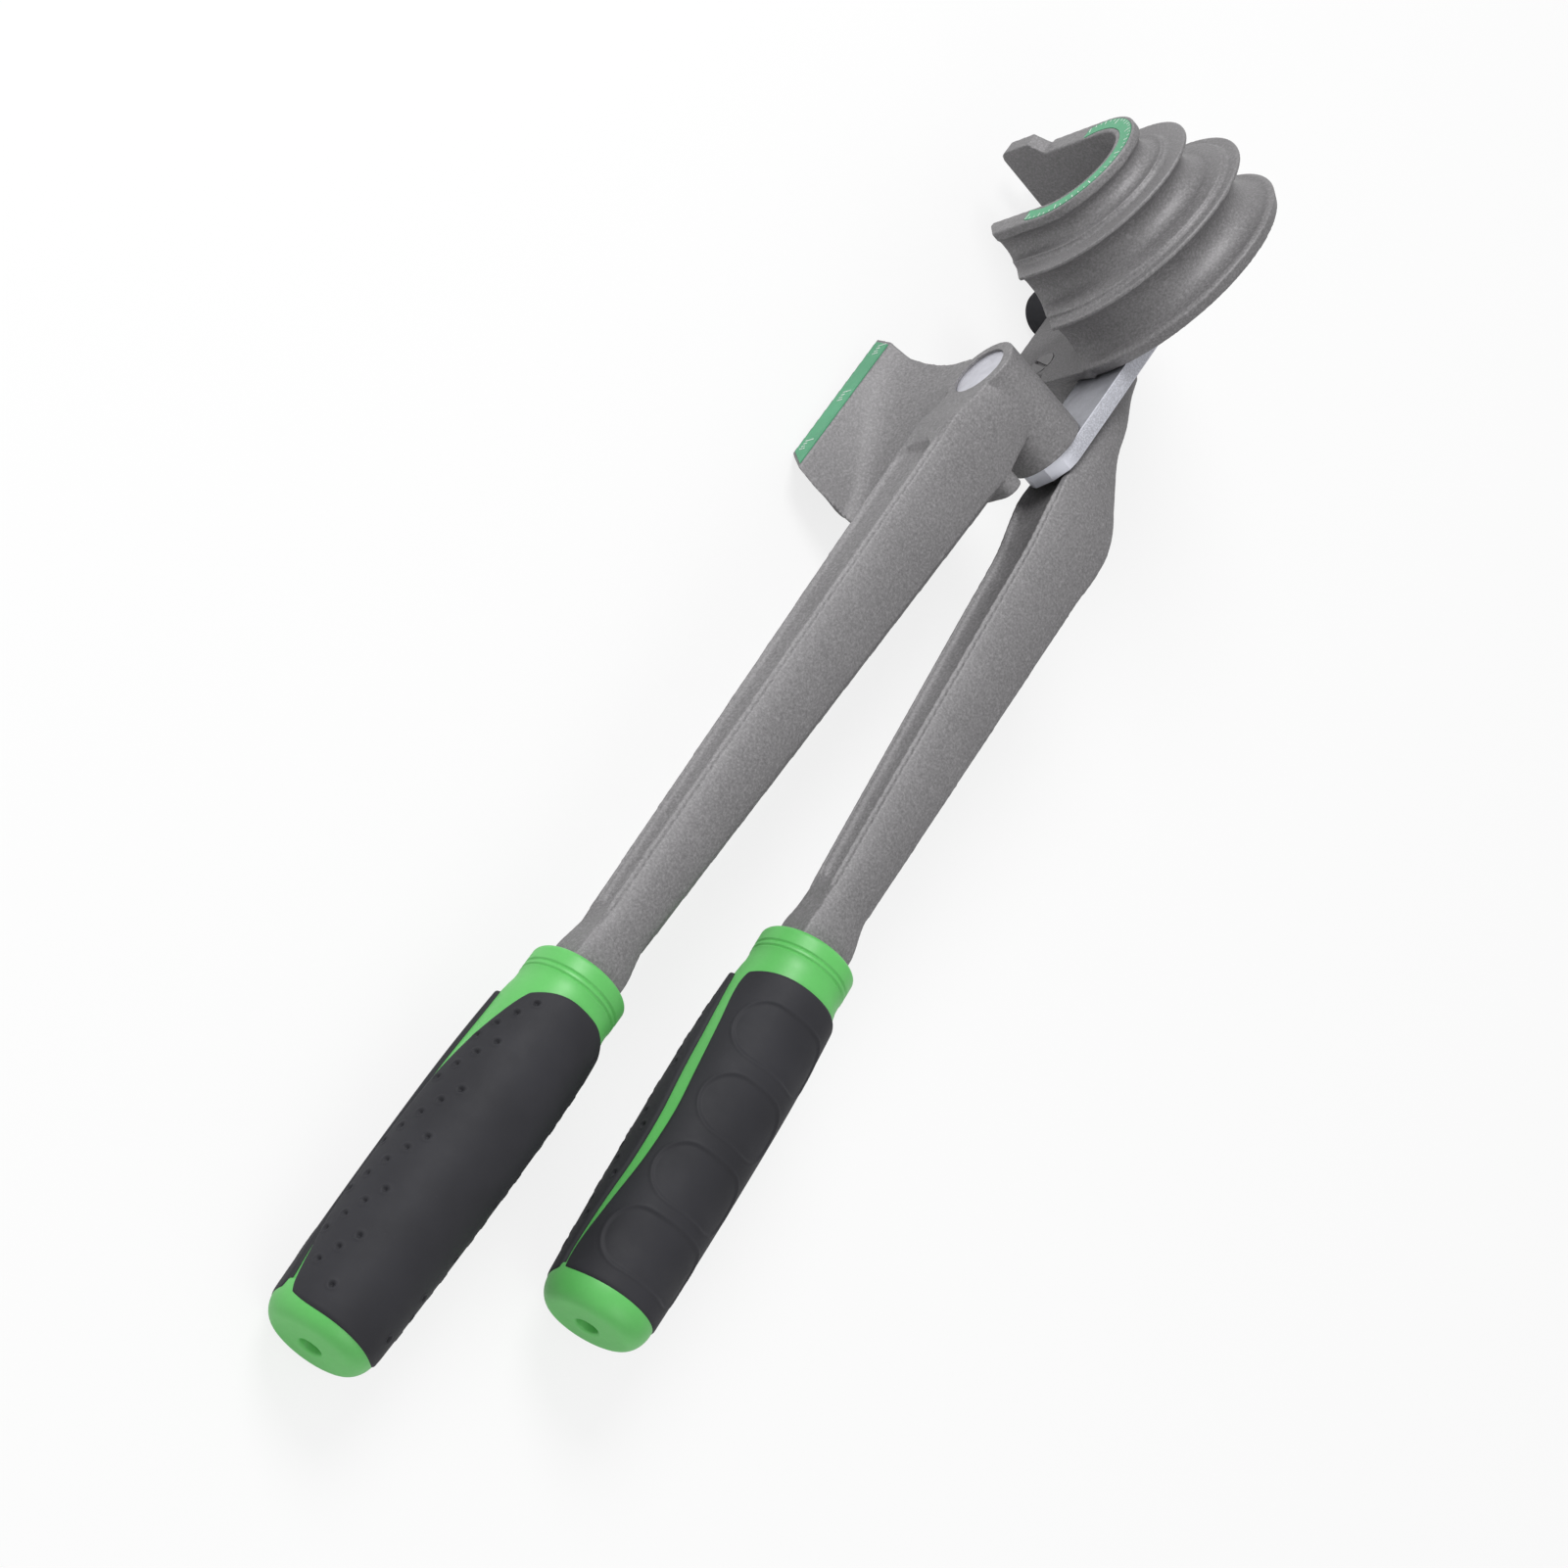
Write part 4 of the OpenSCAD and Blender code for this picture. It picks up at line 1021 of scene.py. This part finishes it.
class TUBEBENDER_OT_grips(bpy.types.Operator):
    """Builds the sleeves, pads and end caps of both grips"""

    bl_idname = "tubebender.grips"
    bl_label = "Grips"

    def execute(self, context):
        fine = context.scene.tube_bender.pad_detail

        def edge(table):
            return lambda x: curve(table, x)[0]

        def far_edge(table, turned):
            return lambda x: turned - curve(table, x)[0]

        for which in GRIPS:
            place, body = grip_place(which), which + "_handle"
            name = which + "_grip_"
            turned = (("collar", sleeve_profile, "sleeve"), ("cap", cap_profile, "end_cap"))
            for part, profile, node in turned:
                bm = bmesh.new()
                revolve(bm, profile(), place)
                mesh = laid_mesh(name + part, bm)
                new_piece(name + part, mesh, body, "green_plastic", name + node, sharp=40)
            palm, back = name + "palm", name + "fingers"
            if which == "shoe":
                meshes = {
                    palm: pad_mesh(
                        palm, place, far_edge(PALM_EDGE, 0), edge(PALM_EDGE),
                        11.3, 4.5, 108.4, palm_relief(False), 0.6, fine),
                    back: pad_mesh(
                        back, place, edge(BACK_EDGE), far_edge(BACK_EDGE, 360),
                        12.5, 3.5, 107.5, lambda x, a: finger_relief(x, a - 180), 0.45, fine)}
            else:
                meshes = {
                    palm: pad_mesh(
                        palm, place, edge(HEEL_EDGE), far_edge(HEEL_EDGE, 360),
                        12.5, 3.5, 106.5, palm_relief(True), 0.5, fine),
                    back: pad_mesh(
                        back, place, far_edge(FINGER_EDGE, 0), edge(FINGER_EDGE),
                        13.6, 2.4, 105.6, finger_relief, 0.5, fine)}
            new_piece(palm, meshes[palm], body, "black_rubber", name + "palm_pad", sharp=180)
            new_piece(back, meshes[back], body, "black_rubber", name + "finger_pad", sharp=180)
        return {"FINISHED"}


# ---------------------------------------------------------------- studio

FLOOR_HALF, FLOOR_GAP = 6.0, 0.0002
SKY_STRENGTH, FILL_SHARE = 0.5, 0.28
# Lamps: place from the middle of the part, and size, in metres
KEY_AT, KEY_SIZE = (-0.42, -0.72, 0.85), 0.6
FILL_AT, FILL_SIZE = (0.9, 0.35, 0.9), 0.8
# Camera that was fitted to the photograph, before the frame's lean
CAMERA_LENS, CAMERA_SENSOR = 86.93, 36.0
CAMERA_RIGHT = (-0.5096, 0.6301, 0.5858)
CAMERA_DOWN = (0.7245, 0.6816, -0.1028)
CAMERA_LOOK = (-0.4641, 0.3721, -0.8039)
CAMERA_SPOT = (0.6347, -0.3580, 0.75975)


def floor_finish(settings):
    """Pale floor that glows a little for the camera alone."""
    f = Finish("pale_floor")
    pale = settings.floor_color
    tone = f.ramp(f.noise(3, 2), (0.3, shade(pale, 0.99)), (0.7, pale))
    f.join(tone, f.shader.inputs["Base Color"])
    f.set(Roughness=0.9)
    glow = f.add("ShaderNodeEmission")
    glow.inputs["Color"].default_value = (1, 1, 1, 1)
    glow.inputs["Strength"].default_value = 1.0
    path = f.add("ShaderNodeLightPath")
    seen = f.math("MULTIPLY", path.outputs["Is Camera Ray"], 0.8)
    blend = f.add("ShaderNodeMixShader")
    out = f.tree.nodes["Material Output"]
    f.join(seen, blend.inputs[0])
    f.join(f.shader.outputs[0], blend.inputs[1])
    f.join(glow.outputs[0], blend.inputs[2])
    f.join(blend.outputs[0], out.inputs["Surface"])
    return f.mat


def add_floor(settings):
    level = CAD_BOX[0].z - FLOOR_GAP
    bm = bmesh.new()
    for x, y in ((-1, -1), (1, -1), (1, 1), (-1, 1)):
        bm.verts.new((x * FLOOR_HALF, y * FLOOR_HALF, level))
    bm.faces.new(bm.verts[:])
    floor = helper_object("studio_floor", bm)
    floor.data.materials.append(floor_finish(settings))


def add_sky(scene):
    world = bpy.data.worlds.new("studio_world")
    world.use_nodes = True
    sky = world.node_tree.nodes["Background"]
    sky.inputs["Color"].default_value = (1, 1, 1, 1)
    sky.inputs["Strength"].default_value = SKY_STRENGTH
    scene.world = world
    scene.view_settings.view_transform = "Standard"


def add_lamp(scene, name, at, size, power):
    """Round soft lamp that points at the middle of the part."""
    centre = (CAD_BOX[0] + CAD_BOX[1]) / 2
    lamp = bpy.data.lights.new(name, "AREA")
    lamp.shape = "DISK"
    lamp.size = size
    lamp.energy = power
    obj = bpy.data.objects.new(name, lamp)
    scene.collection.objects.link(obj)
    obj.location = centre + Vector(at)
    obj.rotation_euler = (centre - obj.location).to_track_quat("-Z", "Y").to_euler()


def add_camera(scene):
    """Camera in the place that the photograph was taken from."""
    eye = bpy.data.cameras.new("photo_camera")
    eye.lens = CAMERA_LENS
    eye.sensor_width = CAMERA_SENSOR
    eye.clip_start, eye.clip_end = 0.01, 20.0
    camera = bpy.data.objects.new("photo_camera", eye)
    scene.collection.objects.link(camera)
    turn = Matrix.Rotation(LEAN, 4, "Y")
    axes = [turn @ Vector(v) for v in (CAMERA_RIGHT, CAMERA_DOWN, CAMERA_LOOK, CAMERA_SPOT)]
    right, down, look, spot = axes
    pose = Matrix.Identity(4)
    for i in range(3):
        pose[i][0], pose[i][1], pose[i][2], pose[i][3] = right[i], -down[i], -look[i], spot[i]
    camera.matrix_world = pose
    scene.camera = camera


class TUBEBENDER_OT_stage(bpy.types.Operator):
    """Sets up the pale floor, the soft light and the camera"""

    bl_idname = "tubebender.stage"
    bl_label = "Studio"

    def execute(self, context):
        s = context.scene.tube_bender
        add_floor(s)
        add_sky(context.scene)
        add_lamp(context.scene, "key_lamp", KEY_AT, KEY_SIZE, s.key_power)
        add_lamp(context.scene, "fill_lamp", FILL_AT, FILL_SIZE, FILL_SHARE * s.key_power)
        add_camera(context.scene)
        return {"FINISHED"}


class TUBEBENDER_PT_panel(bpy.types.Panel):
    """Lists the settings and the steps that build the tube bender"""

    bl_idname = "TUBEBENDER_PT_panel"
    bl_label = "Tube Bender"
    bl_space_type = "VIEW_3D"
    bl_region_type = "UI"
    bl_category = "Tube Bender"

    def draw(self, context):
        s = context.scene.tube_bender
        for name in s.bl_rna.properties.keys():
            if name not in ("rna_type", "name"):
                self.layout.prop(s, name)
        for step in STEPS:
            self.layout.operator(step.bl_idname)


STEPS = (TUBEBENDER_OT_castings, TUBEBENDER_OT_fasteners, TUBEBENDER_OT_scales,
         TUBEBENDER_OT_grips, TUBEBENDER_OT_stage)
CLASSES = (TUBEBENDER_PG_settings, *STEPS, TUBEBENDER_PT_panel)


def register():
    for cls in CLASSES:
        bpy.utils.register_class(cls)
    bpy.types.Scene.tube_bender = bpy.props.PointerProperty(type=TUBEBENDER_PG_settings)


def unregister():
    del bpy.types.Scene.tube_bender
    for cls in reversed(CLASSES):
        bpy.utils.unregister_class(cls)


def main():
    register()
    for step in STEPS:
        group, call = step.bl_idname.split(".")
        getattr(getattr(bpy.ops, group), call)()


if __name__ == "__main__":
    main()
